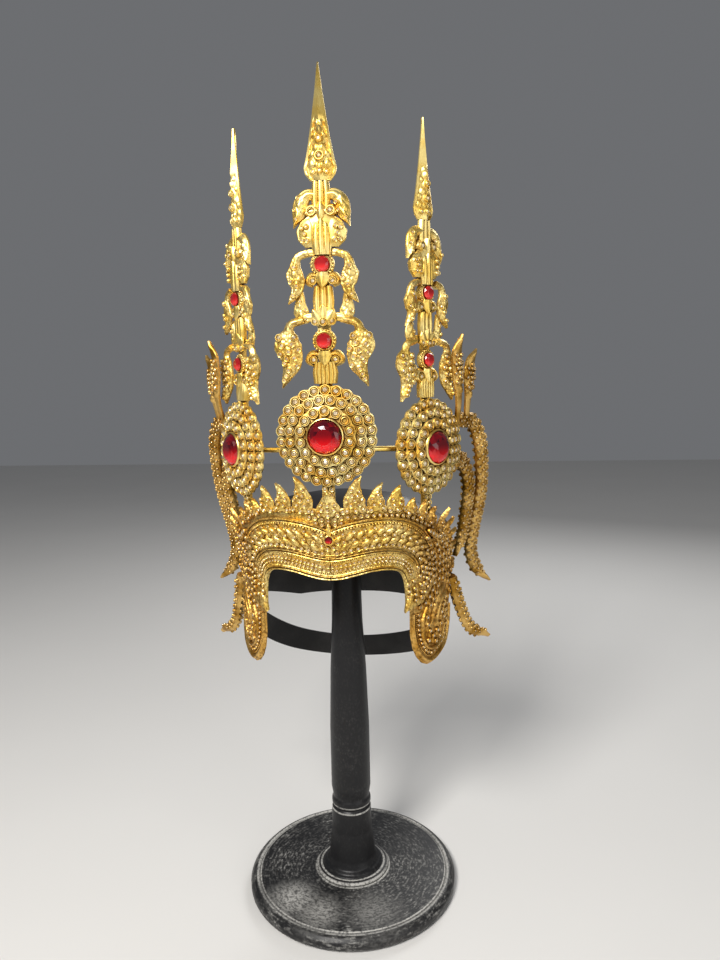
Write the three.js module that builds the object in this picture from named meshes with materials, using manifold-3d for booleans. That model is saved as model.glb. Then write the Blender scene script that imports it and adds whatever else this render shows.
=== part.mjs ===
// Thai dance headdress in gilt metal, on a turned black stand.
// Millimetres, +Z up, the brow faces -Y, origin at the centre of the stand's underside.
import * as THREE from 'three';
import { mergeVertices } from 'three/addons/utils/BufferGeometryUtils.js';
import Module from 'manifold-3d';

const wasm = await Module();
wasm.setup();

// Fit between neighbouring pieces
const GAP = 0.3;
// Largest step that is smoothed out where fused pieces meet
const FUSE_TOLERANCE = 0.06;
const WELD_TOLERANCE = 1e-4;

// Stand: a flat base with a groove near its edge, a turned post and a domed cap inside the crown
const BASE = { r: 109, h: 15, foot: 4, shoulder: 5, crown: 0.8, sides: 40 };
const GROOVE = { r: 100, half: 1.6, deep: 1.6 };
const POST_SIDES = 16;
const POST = [
  { r: 38, z: BASE.h + GAP },
  { r: 38, z: 17.5 },
  { r: 35.5, z: 19.5 },
  { r: 31.5, z: 19.5 },
  { r: 30.5, z: 22.5 },
  { r: 27, z: 24.5 },
  { r: 24.5, z: 31 },
  { r: 20.9, z: 60 },
  { r: 20.7, z: 84 },
  { r: 18.2, z: 86.5 },
  { r: 20.5, z: 89.5 },
  { r: 20.5, z: 94 },
  { r: 18.8, z: 97 },
  { r: 20.6, z: 108 },
  { r: 20.5, z: 173 },
  { r: 18.5, z: 237 },
  { r: 15.8, z: 288 },
  { r: 14, z: 378 },
];
const CAP_RIM = 379;
const CAP_STEP = 12;
const CAP = [
  { inset: 60, z: 378 + GAP },
  { inset: 6, z: CAP_RIM },
  { inset: 0, z: 381.5 },
  { inset: 0, z: 388 },
  { inset: 5, z: 394 },
  { inset: 40, z: 414 },
  { inset: 70, z: 420 },
];

// Plan of the crown: radius against the angle from the brow; above its foot the wall flares
const PLAN = [
  { deg: 0, r: 98 },
  { deg: 50, r: 98 },
  { deg: 68, r: 101 },
  { deg: 88, r: 105 },
  { deg: 104, r: 105 },
  { deg: 135, r: 102 },
  { deg: 180, r: 100 },
];
const FLARE_FROM = 357;
const FLARE = 0.17;

// Brow band: stations from the brow to the temple, where both strips turn down. Each has the angle
// and height of the lower edge, of the groove between the strips and of the upper border
const BAND_WALL = 2.2;
const BAND_STEPS = 18;
const BAND = [
  { lowDeg: 0, low: 357.4, midDeg: 0, mid: 379.2, highDeg: 0, high: 404 },
  { lowDeg: 5, low: 358.2, midDeg: 5, mid: 380, highDeg: 5, high: 408.2 },
  { lowDeg: 12, low: 361, midDeg: 12, mid: 382.5, highDeg: 12, high: 411.8 },
  { lowDeg: 20, low: 364, midDeg: 20, mid: 384.8, highDeg: 20, high: 413.7 },
  { lowDeg: 28, low: 364.5, midDeg: 28, mid: 385, highDeg: 28, high: 413.5 },
  { lowDeg: 33, low: 362.8, midDeg: 34, mid: 383, highDeg: 35, high: 411 },
  { lowDeg: 36.8, low: 359, midDeg: 39, mid: 379, highDeg: 41.5, high: 406 },
  { lowDeg: 39, low: 352.5, midDeg: 44.5, mid: 372, highDeg: 47.5, high: 399 },
  { lowDeg: 40, low: 344, midDeg: 48.5, mid: 362, highDeg: 53, high: 389 },
  { lowDeg: 40.2, low: 336, midDeg: 50.6, mid: 350, highDeg: 57, high: 375 },
  { lowDeg: 40.2, low: 329, midDeg: 51.4, mid: 338, highDeg: 59.6, high: 359 },
  { lowDeg: 39.4, low: 322, midDeg: 51.6, mid: 327, highDeg: 60.8, high: 343 },
];
// Ridges and grooves across the lower strip (0) and the upper strip (1)
const BAND_PROFILE = [
  { strip: 0, t: 0.0, raise: 2.2 },
  { strip: 0, t: 0.17, raise: 2.6 },
  { strip: 0, t: 0.24, raise: 0.7 },
  { strip: 0, t: 0.8, raise: 0.9 },
  { strip: 0, t: 0.86, raise: 2.2 },
  { strip: 1, t: 0.0, raise: 1.9 },
  { strip: 1, t: 0.1, raise: 0.8 },
  { strip: 1, t: 0.45, raise: 2.4 },
  { strip: 1, t: 0.8, raise: 1.2 },
  { strip: 1, t: 0.88, raise: 2.6 },
  { strip: 1, t: 1.0, raise: 2.2 },
];
// Points of the band's plain back, from its upper border down
const BAND_BACK = [
  { strip: 1, t: 1 },
  { strip: 1, t: 0.5 },
  { strip: 0, t: 1 },
  { strip: 0, t: 0.5 },
  { strip: 0, t: 0 },
];
const BROW_STONE = { z: 395.5, r: 3, deep: 2.4, sides: 10, seat: 2.2 };

// Crest strip behind the upper border: its foot, and the notches between its leaves
const CREST = { thick: 1.8, behind: 0.45, end: 60, step: 4, sink: 1.6, rootBelow: 3 };
const CREST_LINE = [
  { deg: 0, low: 397, notch: 420 },
  { deg: 7, low: 401, notch: 423 },
  { deg: 18, low: 404, notch: 424 },
  { deg: 27, low: 404, notch: 423.5 },
  { deg: 38, low: 400, notch: 420.5 },
  { deg: 47, low: 390.5, notch: 413 },
  { deg: 53, low: 389, notch: 408 },
  { deg: 60, low: 389, notch: 402 },
];
// Flame leaves of the right half: angles of root and tip, height of the tip, half width
const CREST_LEAVES = [
  { deg: 0, tipDeg: 0, tip: 439, half: 11 },
  { deg: 12.3, tipDeg: 15, tip: 451, half: 10 },
  { deg: 22.3, tipDeg: 24.8, tip: 444.5, half: 8.4 },
  { deg: 32, tipDeg: 33.4, tip: 441, half: 9.4 },
  { deg: 41, tipDeg: 42, tip: 428, half: 7.6 },
  { deg: 48.6, tipDeg: 49.8, tip: 424, half: 6.6 },
  { deg: 55.6, tipDeg: 58.4, tip: 416, half: 6.6 },
];
// A flame leaf: shares of its rise and lean at its knots, and of its half width from root to tip
const FLAME_LEAF = { rise: [0, 0.4, 0.75, 1], lean: [0, -0.15, 0.2, 1], half: [0.95, 0.95, 0.6, 0.3, 0.05] };
const CREST_LEAF = { steps: 5, edge: 0, ridge: 4 };

// Ear flap: outline in angle and height
const FLAP_THICK = 2;
const FLAP_BEND_MARGIN = 1;
const FLAP_EDGE = [
  { deg: 44.4, low: 298, high: 388 },
  { deg: 46, low: 284, high: 388 },
  { deg: 49, low: 274, high: 387.5 },
  { deg: 53, low: 266.5, high: 386.5 },
  { deg: 57, low: 263.5, high: 385 },
  { deg: 61, low: 263.5, high: 384 },
  { deg: 65, low: 265.5, high: 388 },
  { deg: 69, low: 268, high: 385 },
  { deg: 73, low: 271.5, high: 381 },
  { deg: 77, low: 277, high: 376 },
  { deg: 81, low: 288, high: 369 },
  { deg: 84.5, low: 306, high: 360 },
  { deg: 87, low: 328, high: 350 },
];
// Raised rim and scrolls on the flap's face, as angles and heights
const FLAP_RIM = {
  path: [
    [46, 317], [46, 301], [47.6, 288], [50.4, 278], [54.5, 270.4], [59, 267], [64, 268.2],
    [69, 271.2], [74, 275.4], [78, 283], [81.4, 296], [83.6, 311],
  ],
  half: [2, 2.7, 2.7, 2.7, 1.6],
  sink: 0.8,
  blade: { steps: 16, edge: 0, ridge: 3.2 },
};
const FLAP_SCROLLS = {
  paths: [
    [[74, 336], [68.5, 329], [63, 316], [60, 302]],
    [[77, 328], [71.5, 321], [66.5, 309], [64, 298]],
    [[56.5, 320], [52.8, 306], [53.4, 290], [58, 279.5], [65, 278], [71, 284], [75, 295]],
  ],
  half: [1.4, 2.4, 2.4, 2.2, 1.2],
  sink: 1,
  blade: { steps: 7, edge: 0, ridge: 3.4 },
};
// Leaves along the flap's rear edge: angles and heights of root and tip
const EDGE_LEAVES = [
  { deg: 65, z: 381, tipDeg: 67, tip: 413 },
  { deg: 70.5, z: 374, tipDeg: 74, tip: 402 },
  { deg: 76, z: 366, tipDeg: 81, tip: 389 },
  { deg: 81, z: 356, tipDeg: 88, tip: 374 },
  { deg: 84, z: 343, tipDeg: 92, tip: 354 },
];
const EDGE_LEAF = {
  half: [5, 6, 3.4, 0.6],
  sink: 1.5,
  middle: { back: 1, rise: 2, lift: 0.5 },
  flare: 2.5,
  blade: { steps: 4, edge: 0, ridge: 4 },
};

// Places of the rosettes and spires
const SPIRE_BACK = 99.3;
const SPIRE_PLATE = 3;
const SIDE_ANGLE = 55;
const SIDE_FACE = 50;
const CENTRE_Z = 485;
const SIDE_Z = 471;
const SIDE_SCALE = 0.93;

// Rosettes: three scalloped tiers on one axis, and a cut stone
const TIERS = [
  { name: 'tier_back', r: 43.5, lobes: 26, thick: 3.6 },
  { name: 'tier_middle', r: 35.4, lobes: 20, thick: 3.4 },
  { name: 'tier_front', r: 26.2, lobes: 13, thick: 3.2 },
];
const LOBE_DEPTH = 0.075;
const GEM = { r: 14.3, sides: 12, deep: 8 };
// Rings of a cut stone from its back to its table: share of radius and depth, turn in facets
const STONE_CUT = [
  { r: 0.86, deep: 0, turn: 0 },
  { r: 1, deep: 0.35, turn: 0 },
  { r: 0.8, deep: 0.78, turn: 0.5 },
  { r: 0.56, deep: 1, turn: 0.5 },
];

// Spire: heights above the rosette's axis, half widths and depths at full size
const ROSETTE_TOP = 43.8;
const BAR = { half: 5.5, low: -89.5, high: 205 };
const FLUTES = 6;
const FLUTED_BACK = 0.5;
const FLUTED_WIDTHS = [0.9, 1, 0.85];
const FLUTED = [
  { low: 44, high: 62, half: 10.8, deep: 6.5 },
  { low: 101, high: 124, half: 9, deep: 6 },
  { low: 182, high: 207.5, half: 8, deep: 5.5 },
];
const STONES = [
  { name: 'stone_low', z: 79.5, r: 6.5 },
  { name: 'stone_high', z: 141.5, r: 6.6 },
];
const STONE = { sides: 10, deep: 4 };
const BEZEL = { sides: 10, wall: 3.4, lip: 1.4, back: 0.5, deep: 4.4, high: 5.6 };
const ARMS = [
  { z: 97.5, reach: 24, rise: -2, half: 3.6 },
  { z: 150, reach: 19, rise: -2, half: 3.2 },
];
const ARM = {
  root: -1,
  middle: 1.5,
  half: [1, 1, 0.6],
  blade: { steps: 3, edge: 1.4, ridge: SPIRE_PLATE },
};
const CURLS = [
  { z: 66, reach: 14.2, drop: 7, half: 3.2 },
  { z: 130, reach: 12.8, drop: 6, half: 3 },
  { z: 184, reach: 11.5, drop: 4, half: 3 },
];
const CURL = {
  root: { u: 2, rise: 1 },
  top: { reach: 0.74, rise: 3 },
  turn: { reach: 1, drop: 0.35 },
  end: { reach: 0.68, drop: 1 },
  half: [0.8, 1, 0.9, 0.4],
  back: 0.6,
  blade: { steps: 4, edge: 0, ridge: 5.4 },
};
const PETAL = {
  rise: 5,
  drop: 9,
  half: [4, 5.4, 4, 0.5],
  back: 0.6,
  blade: { steps: 3, edge: 0, ridge: 6.2 },
};
const BUD = {
  low: 155.2,
  high: 181,
  half: [14, 20, 21, 18, 10.5],
  back: 0.4,
  blade: { steps: 6, edge: 2.4, ridge: 7.5 },
};
const SIDE_LEAF = {
  spine: [[17, 94], [20, 108.2], [18.2, 123]],
  half: [4.2, 6.4, 4, 0.6],
  blade: { steps: 4, edge: 0, ridge: SPIRE_PLATE },
};
const WINGS = {
  low: {
    spine: [[17, 97], [28, 93], [30, 79], [28, 62], [36.5, 41]],
    outer: [3.2, 3.4, 3.4, 3.8, 8, 10.5, 9.5, 8, 4, 0.6],
    inner: [3.2, 3.4, 3.4, 4, 11, 13, 10.5, 8, 4.5, 0.6],
    back: SPIRE_PLATE + GAP,
    blade: { steps: 9, edge: 1.6, ridge: 5.2 },
  },
  mid: {
    spine: [[12, 151], [20.5, 147], [22.5, 134], [21.5, 122], [29.5, 110]],
    outer: [2.8, 3, 3, 3.8, 6.4, 7, 5, 3, 0.6],
    inner: [2.8, 3, 3.2, 4.6, 8, 7, 5, 3, 0.6],
    back: SPIRE_PLATE + GAP,
    blade: { steps: 8, edge: 1.6, ridge: 4.6 },
  },
  top: {
    spine: [[5, 197], [11.5, 196.8], [17, 190.5], [19, 182], [23.5, 171.5]],
    outer: [4, 5, 6.5, 6, 0.5],
    inner: [4, 5, 6, 5.5, 0.5],
    back: 0.4,
    blade: { steps: 6, edge: 0, ridge: 5.2 },
  },
};
const SPEAR = [
  { z: 207.8, half: 8.6 },
  { z: 213, half: 12.6 },
  { z: 218, half: 13.6 },
  { z: 226, half: 11.6 },
  { z: 237, half: 9.4 },
  { z: 254, half: 6.5 },
  { z: 278, half: 3 },
  { z: 298.5, half: 0.5 },
];
const SPEAR_SECTION = { deep: 7, back: -1.2, edgeBack: 0.8, edgeFront: 1.8, slim: 0.3, fullHalf: 10 };

// Rods, stalks, flames and tails on the right side, mirrored to the left
const ROD = { r: 2, sides: 6, steps: 8, centreBelow: 11, sideBelow: 1 };
const STALK_ROOT = { from: 8.5, to: 47, back: -3.6, half: [3, 4, 6] };
const STALK_BLADE = { steps: 16, edge: 2.4, ridge: 6.2 };
const STALK_OUTER = {
  spine: [
    [124, 0, 491], [133, 14, 474], [136, 25, 450], [136, 40, 415], [129, 50, 372], [126.5, 52, 351],
    [133, 54, 330], [148, 57, 315],
  ],
  half: [7, 8, 8, 7.5, 7, 7.5, 6.5, 0.7],
};
const STALK_INNER = {
  spine: [[115, 0, 453], [122.5, 18, 430], [121, 29, 399], [116, 31, 368], [109, 24, 350]],
  half: [7, 7, 6.5, 5.5, 1.5],
};
const FLAMES = [
  [
    [110, -21, 488], [112, -32, 505], [112, -41, 519], [110.8, -46, 538], [110.6, -48.5, 555],
    [115.6, -48.5, 570.5],
  ],
  [
    [121, -4, 487], [120.6, -14, 502], [121.4, -21, 516], [122.4, -22, 534], [123.6, -20.5, 546],
    [129.5, -15, 558.5],
  ],
];
const FLAME = { half: [3.4, 3.6, 4.2, 7.4, 5.8, 0.6], blade: { steps: 10, edge: 1.6, ridge: 4 } };
const TAIL = {
  spine: [[103.6, -11.5, 338], [112, 8, 303], [124, 28, 272], [146, 46, 256]],
  half: [4, 7, 7, 0.6],
  lift: GAP,
  blade: { steps: 9, edge: 2.6, ridge: 7.4 },
};
// A blade thins towards a narrow end: least share of its depth, and the half width that has it all
const SLIM = { least: 0.35, over: 3 };

// Black parts inside the crown
const PANEL = [
  { deg: 80, low: 334, high: 350 },
  { deg: 95, low: 322, high: 374 },
  { deg: 112, low: 306, high: 388 },
  { deg: 140, low: 292, high: 396 },
  { deg: 180, low: 290, high: 398 },
];
const PANEL_THICK = 2;
const PANEL_STEP = 10;
const PANEL_CLEAR_OF_CAP = 76;
const STRAP = { wide: 24, thick: 2, steps: 24 };
const STRAP_PATH = [
  [96.8, -16, 310], [97, 30, 274], [66, 74, 240], [0, 92, 226], [-66, 74, 240], [-97, 30, 274],
  [-96.8, -16, 310],
];

// Finishes
const GILT = { color: 0xc8942a, roughness: 0.34, metalness: 0.95 };
const RED = { color: 0xa3060f, roughness: 0.08, metalness: 0.0 };
const WOOD = { color: 0x121212, roughness: 0.42, metalness: 0.0 };
const HIDE = { color: 0x0e0d0d, roughness: 0.6, metalness: 0.0 };

const rad = THREE.MathUtils.degToRad;
const { lerp, clamp } = THREE.MathUtils;
const group = new THREE.Group();
group.name = 'thai_headdress_on_stand';

// Value of a column at x, straight between the rows of a table.
function fromTable(table, key, column, x) {
  const last = table.length - 1;
  if (x <= table[0][key]) return table[0][column];
  if (x >= table[last][key]) return table[last][column];
  let i = 0;
  while (table[i + 1][key] < x) i += 1;
  const t = (x - table[i][key]) / (table[i + 1][key] - table[i][key]);
  return lerp(table[i][column], table[i + 1][column], t);
}

// Value of an evenly spaced list at t from 0 to 1.
function fromList(list, t) {
  const f = clamp(t, 0, 1) * (list.length - 1);
  const i = Math.min(Math.floor(f), list.length - 2);
  return lerp(list[i], list[i + 1], f - i);
}

// Point from a list of three numbers.
function point(xyz) {
  return new THREE.Vector3(...xyz);
}

// Smooth curve through points.
function curveThrough(points) {
  return new THREE.CatmullRomCurve3(points, false, 'centripetal');
}

// Inner face of the crown wall at an angle from the brow and a height.
function wallR(deg, z) {
  return fromTable(PLAN, 'deg', 'r', Math.abs(deg)) + FLARE * Math.max(0, z - FLARE_FROM);
}

// Point at an angle from the brow (towards +X), a distance from the axis and a height.
function polar(deg, r, z) {
  return new THREE.Vector3(r * Math.sin(rad(deg)), -r * Math.cos(rad(deg)), z);
}

// Level direction away from the crown's axis.
function outwards(p) {
  return new THREE.Vector3(p.x, p.y, 0).normalize();
}

// Points evenly spaced round a circle, made by at from their places across and up.
function circle(sides, r, turn, at) {
  return Array.from({ length: sides }, (_, i) => {
    const angle = ((i + turn) / sides) * 2 * Math.PI;
    return at(r * Math.cos(angle), r * Math.sin(angle));
  });
}

// Axes of a plate that stands square to the direction facing: across, outwards and up from a foot.
function standing(foot, facing) {
  const across = polar(facing + 90, 1, 0);
  const out = polar(facing, 1, 0);
  const at = (u, d, h) => {
    const level = foot.clone().addScaledVector(across, u).addScaledVector(out, d);
    return level.setZ(foot.z + h);
  };
  return { out, at };
}

// Geometry with its faces turned outwards.
function outward(positions, index) {
  let volume = 0;
  const v = (i) => new THREE.Vector3(positions[3 * i], positions[3 * i + 1], positions[3 * i + 2]);
  for (let i = 0; i < index.length; i += 3) {
    volume += v(index[i]).dot(new THREE.Vector3().crossVectors(v(index[i + 1]), v(index[i + 2])));
  }
  if (volume < 0) {
    for (let i = 0; i < index.length; i += 3) [index[i], index[i + 1]] = [index[i + 1], index[i]];
  }
  const geometry = new THREE.BufferGeometry();
  geometry.setAttribute('position', new THREE.Float32BufferAttribute(positions, 3));
  geometry.setIndex(index);
  return geometry;
}

// Triangles that close a nearly flat section, wound the way its points run.
function capFaces(row) {
  const normal = new THREE.Vector3();
  row.forEach((p, i) => normal.add(new THREE.Vector3().crossVectors(p, row[(i + 1) % row.length])));
  normal.normalize();
  const level = Math.abs(normal.z) > Math.SQRT1_2;
  const side = level ? point([1, 0, 0]) : point([0, 0, 1]);
  const e1 = new THREE.Vector3().crossVectors(side, normal).normalize();
  const e2 = new THREE.Vector3().crossVectors(normal, e1);
  const flat = row.map((p) => new THREE.Vector2(p.dot(e1), p.dot(e2)));
  return THREE.ShapeUtils.triangulateShape(flat, []);
}

// Closed solid from rows of points: each row is one closed section, the first and last are capped.
function loft(rows) {
  const count = rows[0].length;
  const last = (rows.length - 1) * count;
  const positions = rows.flatMap((row) => row.flatMap((p) => [p.x, p.y, p.z]));
  const index = [];
  for (let a = 0; a < last; a += count) {
    for (let j = 0; j < count; j += 1) {
      const k = (j + 1) % count;
      index.push(a + j, a + k, a + count + k, a + j, a + count + k, a + count + j);
    }
  }
  capFaces(rows[0]).forEach((f) => index.push(f[2], f[1], f[0]));
  capFaces(rows[rows.length - 1]).forEach((f) => index.push(last + f[0], last + f[1], last + f[2]));
  return outward(positions, index);
}

// Turned solid from rows of radius and height; both ends are closed to the axis.
function turned(profile, sides) {
  const closed = [{ r: 0, z: profile[0].z }, ...profile, { r: 0, z: profile[profile.length - 1].z }];
  const lathe = new THREE.LatheGeometry(closed.map(({ r, z }) => new THREE.Vector2(r, z)), sides);
  lathe.deleteAttribute('normal');
  lathe.deleteAttribute('uv');
  lathe.rotateX(Math.PI / 2);
  const welded = mergeVertices(lathe, WELD_TOLERANCE);
  const kept = [];
  const corners = welded.index.array;
  for (let i = 0; i < corners.length; i += 3) {
    const [a, b, c] = [corners[i], corners[i + 1], corners[i + 2]];
    if (a !== b && b !== c && c !== a) kept.push(a, b, c);
  }
  return outward(Array.from(welded.attributes.position.array), kept);
}

// One solid from several that meet.
function fuse(parts) {
  const solids = parts.map((g) => new wasm.Manifold(new wasm.Mesh({
    numProp: 3,
    vertProperties: new Float32Array(g.attributes.position.array),
    triVerts: new Uint32Array(g.index.array),
  })));
  const mesh = solids.reduce((a, b) => a.add(b)).simplify(FUSE_TOLERANCE).getMesh();
  return outward(Array.from(mesh.vertProperties), Array.from(mesh.triVerts));
}

// Leaf, wing or stalk: a ridged blade along a curve, with half widths on both sides. Its edges are
// sharp, or upright walls of the height edge.
function blade(points, left, right, { steps, edge, ridge }, faceOf) {
  const curve = curveThrough(points);
  const rows = [];
  for (let i = 0; i <= steps; i += 1) {
    const t = i / steps;
    const centre = curve.getPoint(t);
    const along = curve.getTangent(t);
    const face = faceOf(centre).clone();
    face.addScaledVector(along, -face.dot(along)).normalize();
    const across = new THREE.Vector3().crossVectors(along, face).normalize();
    const l = fromList(left, t);
    const r = fromList(right, t);
    const slim = Math.min(1, SLIM.least + Math.min(l, r) / SLIM.over);
    const spot = (w, d) => centre.clone().addScaledVector(across, w).addScaledVector(face, d * slim);
    const crown = [spot(-l, edge), spot(0, ridge), spot(r, edge)];
    rows.push(edge > 0 ? [spot(-l, 0), ...crown, spot(r, 0)] : crown);
  }
  return loft(rows);
}

// Cut stone with its table outwards, on a standing frame at a height.
function cutStone(frame, { r, sides, deep }, h) {
  return loft(STONE_CUT.map((ring) => circle(sides, r * ring.r, ring.turn, (u, up) => (
    frame.at(u, deep * ring.deep, h + up)))));
}

// Named mesh with a finish.
function piece(name, geometry, finish) {
  const mesh = new THREE.Mesh(geometry, new THREE.MeshStandardMaterial(finish));
  mesh.name = name;
  group.add(mesh);
}

// Both sides of a piece that is built for the right.
function bothSides(name, geometry, finish) {
  piece(`${name}_right`, geometry, finish);
  const { array } = geometry.attributes.position;
  const mirrored = Array.from(array, (value, i) => (i % 3 === 0 ? -value : value));
  piece(`${name}_left`, outward(mirrored, Array.from(geometry.index.array)), finish);
}

// Stand
function stand() {
  const base = [
    { r: BASE.r - BASE.foot, z: 0 },
    { r: BASE.r, z: BASE.foot },
    { r: BASE.r, z: BASE.h - BASE.shoulder },
    { r: BASE.r - BASE.foot, z: BASE.h - BASE.crown },
    { r: GROOVE.r + GROOVE.half, z: BASE.h },
    { r: GROOVE.r, z: BASE.h - GROOVE.deep },
    { r: GROOVE.r - GROOVE.half, z: BASE.h },
  ];
  piece('stand_base', turned(base, BASE.sides), WOOD);
  piece('stand_post', turned(POST, POST_SIDES), WOOD);
  const rim = (deg) => {
    const panel = Math.abs(deg) > PANEL_CLEAR_OF_CAP ? PANEL_THICK : 0;
    return wallR(deg, CAP_RIM) - FLAP_THICK - panel - 3 * GAP;
  };
  const ring = ({ inset, z }) => {
    const points = [];
    for (let deg = -180; deg < 180; deg += CAP_STEP) points.push(polar(deg, rim(deg) - inset, z));
    return points;
  };
  piece('stand_cap', loft(CAP.map(ring)), WOOD);
}

// Panel behind the head
function backPanel() {
  const rows = [];
  const start = PANEL[0].deg;
  for (let deg = start; deg <= 360 - start; deg += PANEL_STEP) {
    const near = Math.min(deg, 360 - deg);
    const low = fromTable(PANEL, 'deg', 'low', near);
    const high = fromTable(PANEL, 'deg', 'high', near);
    const bend = Math.min(high - FLAP_BEND_MARGIN, FLARE_FROM);
    const face = (z) => wallR(near, z) - FLAP_THICK - 2 * GAP;
    const front = [low, bend, high].map((z) => polar(deg, face(z), z));
    const back = [high, bend, low].map((z) => polar(deg, face(z) - PANEL_THICK, z));
    rows.push([...front, ...back]);
  }
  piece('back_panel', loft(rows), HIDE);
}

// Strap that hangs in a U behind the post
function napeStrap() {
  const curve = curveThrough(STRAP_PATH.map(point));
  const rows = [];
  for (let i = 0; i <= STRAP.steps; i += 1) {
    const centre = curve.getPoint(i / STRAP.steps);
    const along = curve.getTangent(i / STRAP.steps);
    const out = outwards(centre);
    out.addScaledVector(along, -out.dot(along)).normalize();
    out.multiplyScalar(STRAP.thick / 2);
    const across = new THREE.Vector3().crossVectors(along, out).setLength(STRAP.wide / 2);
    const corner = (w, d) => centre.clone().addScaledVector(across, w).addScaledVector(out, d);
    rows.push([corner(-1, -1), corner(1, -1), corner(1, 1), corner(-1, 1)]);
  }
  piece('nape_strap', loft(rows), HIDE);
}

// Smooth line through the band's stations: angle and height at s, from -1 at the left end to 1
function bandLine(edge) {
  const curve = curveThrough(BAND.map((row) => point([row[`${edge}Deg`], row[edge], 0])));
  return (s) => {
    const at = curve.getPoint(Math.abs(s));
    return { deg: Math.sign(s) * at.x, z: at.y };
  };
}

// Brow band of two strips, and the red stone over the brow
function browBand() {
  const lines = ['low', 'mid', 'high'].map(bandLine);
  const rows = [];
  for (let i = -BAND_STEPS; i <= BAND_STEPS; i += 1) {
    const edges = lines.map((line) => line(i / BAND_STEPS));
    const spot = ({ strip, t }, lift) => {
      const deg = lerp(edges[strip].deg, edges[strip + 1].deg, t);
      const z = lerp(edges[strip].z, edges[strip + 1].z, t);
      return polar(deg, wallR(deg, z) + lift, z);
    };
    const front = BAND_PROFILE.map((row) => spot(row, BAND_WALL + row.raise));
    rows.push([...front, ...BAND_BACK.map((row) => spot(row, 0))]);
  }
  piece('brow_band', loft(rows), GILT);
  const seat = wallR(0, BROW_STONE.z) + BAND_WALL + BROW_STONE.seat + GAP;
  piece('brow_stone', cutStone(standing(polar(0, seat, 0), 0), BROW_STONE, BROW_STONE.z), RED);
}

// Crest: strip behind the upper border with a row of flame leaves
function crest() {
  const face = (deg, z) => wallR(deg, z) - CREST.behind;
  const rows = [];
  for (let deg = -CREST.end; deg <= CREST.end; deg += CREST.step) {
    const low = fromTable(CREST_LINE, 'deg', 'low', Math.abs(deg));
    const notch = fromTable(CREST_LINE, 'deg', 'notch', Math.abs(deg));
    const front = [low, notch].map((z) => polar(deg, face(deg, z), z));
    const back = [notch, low].map((z) => polar(deg, face(deg, z) - CREST.thick, z));
    rows.push([...front, ...back]);
  }
  const parts = [loft(rows)];
  CREST_LEAVES.forEach(({ deg, tipDeg, tip, half }) => {
    const root = fromTable(CREST_LINE, 'deg', 'notch', deg) - CREST.rootBelow;
    const widths = FLAME_LEAF.half.map((share) => share * half);
    (deg === 0 ? [1] : [1, -1]).forEach((side) => {
      const knots = FLAME_LEAF.rise.map((rise, i) => {
        const z = lerp(root, tip, rise);
        const at = lerp(deg, tipDeg, FLAME_LEAF.lean[i]);
        return polar(side * at, face(deg, z) - CREST.sink, z);
      });
      parts.push(blade(knots, widths, widths, CREST_LEAF, outwards));
    });
  });
  piece('crest', fuse(parts), GILT);
}

// Ear flaps with rim, scrolls and rear leaves
function earFlaps() {
  const spot = (deg, z, lift) => polar(deg, wallR(deg, z) - GAP + lift, z);
  const plate = loft(FLAP_EDGE.map(({ deg, low, high }) => {
    const bend = clamp(FLARE_FROM, low + FLAP_BEND_MARGIN, high - FLAP_BEND_MARGIN);
    const front = [low, bend, high].map((z) => spot(deg, z, 0));
    const back = [high, bend, low].map((z) => spot(deg, z, -FLAP_THICK));
    return [...front, ...back];
  }));
  const raised = (path, { half, sink, blade: shape }) => (
    blade(path.map(([deg, z]) => spot(deg, z, -sink)), half, half, shape, outwards));
  const leaves = EDGE_LEAVES.map(({ deg, z, tipDeg, tip }) => {
    const { half, sink, middle, flare, blade: shape } = EDGE_LEAF;
    const r = wallR(deg, z) - GAP + middle.lift;
    const halfway = polar((deg + tipDeg) / 2 - middle.back, r, (z + tip) / 2 + middle.rise);
    return blade([spot(deg, z, -sink), halfway, spot(tipDeg, tip, flare)], half, half, shape, outwards);
  });
  const scrolls = FLAP_SCROLLS.paths.map((path) => raised(path, FLAP_SCROLLS));
  bothSides('ear_flap', fuse([plate, raised(FLAP_RIM.path, FLAP_RIM), ...leaves, ...scrolls]), GILT);
  const tail = TAIL.spine.map((xyz) => point(xyz).addScaledVector(outwards(point(xyz)), TAIL.lift));
  bothSides('cheek_tail', blade(tail, TAIL.half, TAIL.half, TAIL.blade, outwards), GILT);
}

// Stalks start beside the side stem, pass behind the rosette and sweep back over the ear; two flames
// stand on the outer one
function stalks() {
  const frame = standing(polar(SIDE_ANGLE, SPIRE_BACK, 0), SIDE_FACE);
  const faceOf = () => frame.out;
  const { from, to, back, half: rootHalf } = STALK_ROOT;
  const stalk = ({ spine, half }) => {
    const z = spine[0][2];
    const root = [from, to / 2, to].map((u) => frame.at(u, back, z));
    const widths = [...rootHalf, ...half];
    return blade([...root, ...spine.map(point)], widths, widths, STALK_BLADE, faceOf);
  };
  const flames = FLAMES.map((spine) => blade(spine.map(point), FLAME.half, FLAME.half, FLAME.blade, faceOf));
  bothSides('stalk_outer', fuse([stalk(STALK_OUTER), ...flames]), GILT);
  bothSides('stalk_inner', stalk(STALK_INNER), GILT);
}

// Rod behind the rosettes, from one stem to the next
function rods() {
  const clear = THREE.MathUtils.radToDeg((BAR.half + GAP) / SPIRE_BACK);
  const rows = [];
  for (let i = 0; i <= ROD.steps; i += 1) {
    const deg = lerp(clear, SIDE_ANGLE - clear, i / ROD.steps);
    const z = lerp(CENTRE_Z - ROD.centreBelow, SIDE_Z - ROD.sideBelow, i / ROD.steps);
    rows.push(circle(ROD.sides, ROD.r, 0, (out, up) => polar(deg, SPIRE_BACK + out, z + up)));
  }
  bothSides('rod', loft(rows), GILT);
}

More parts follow.
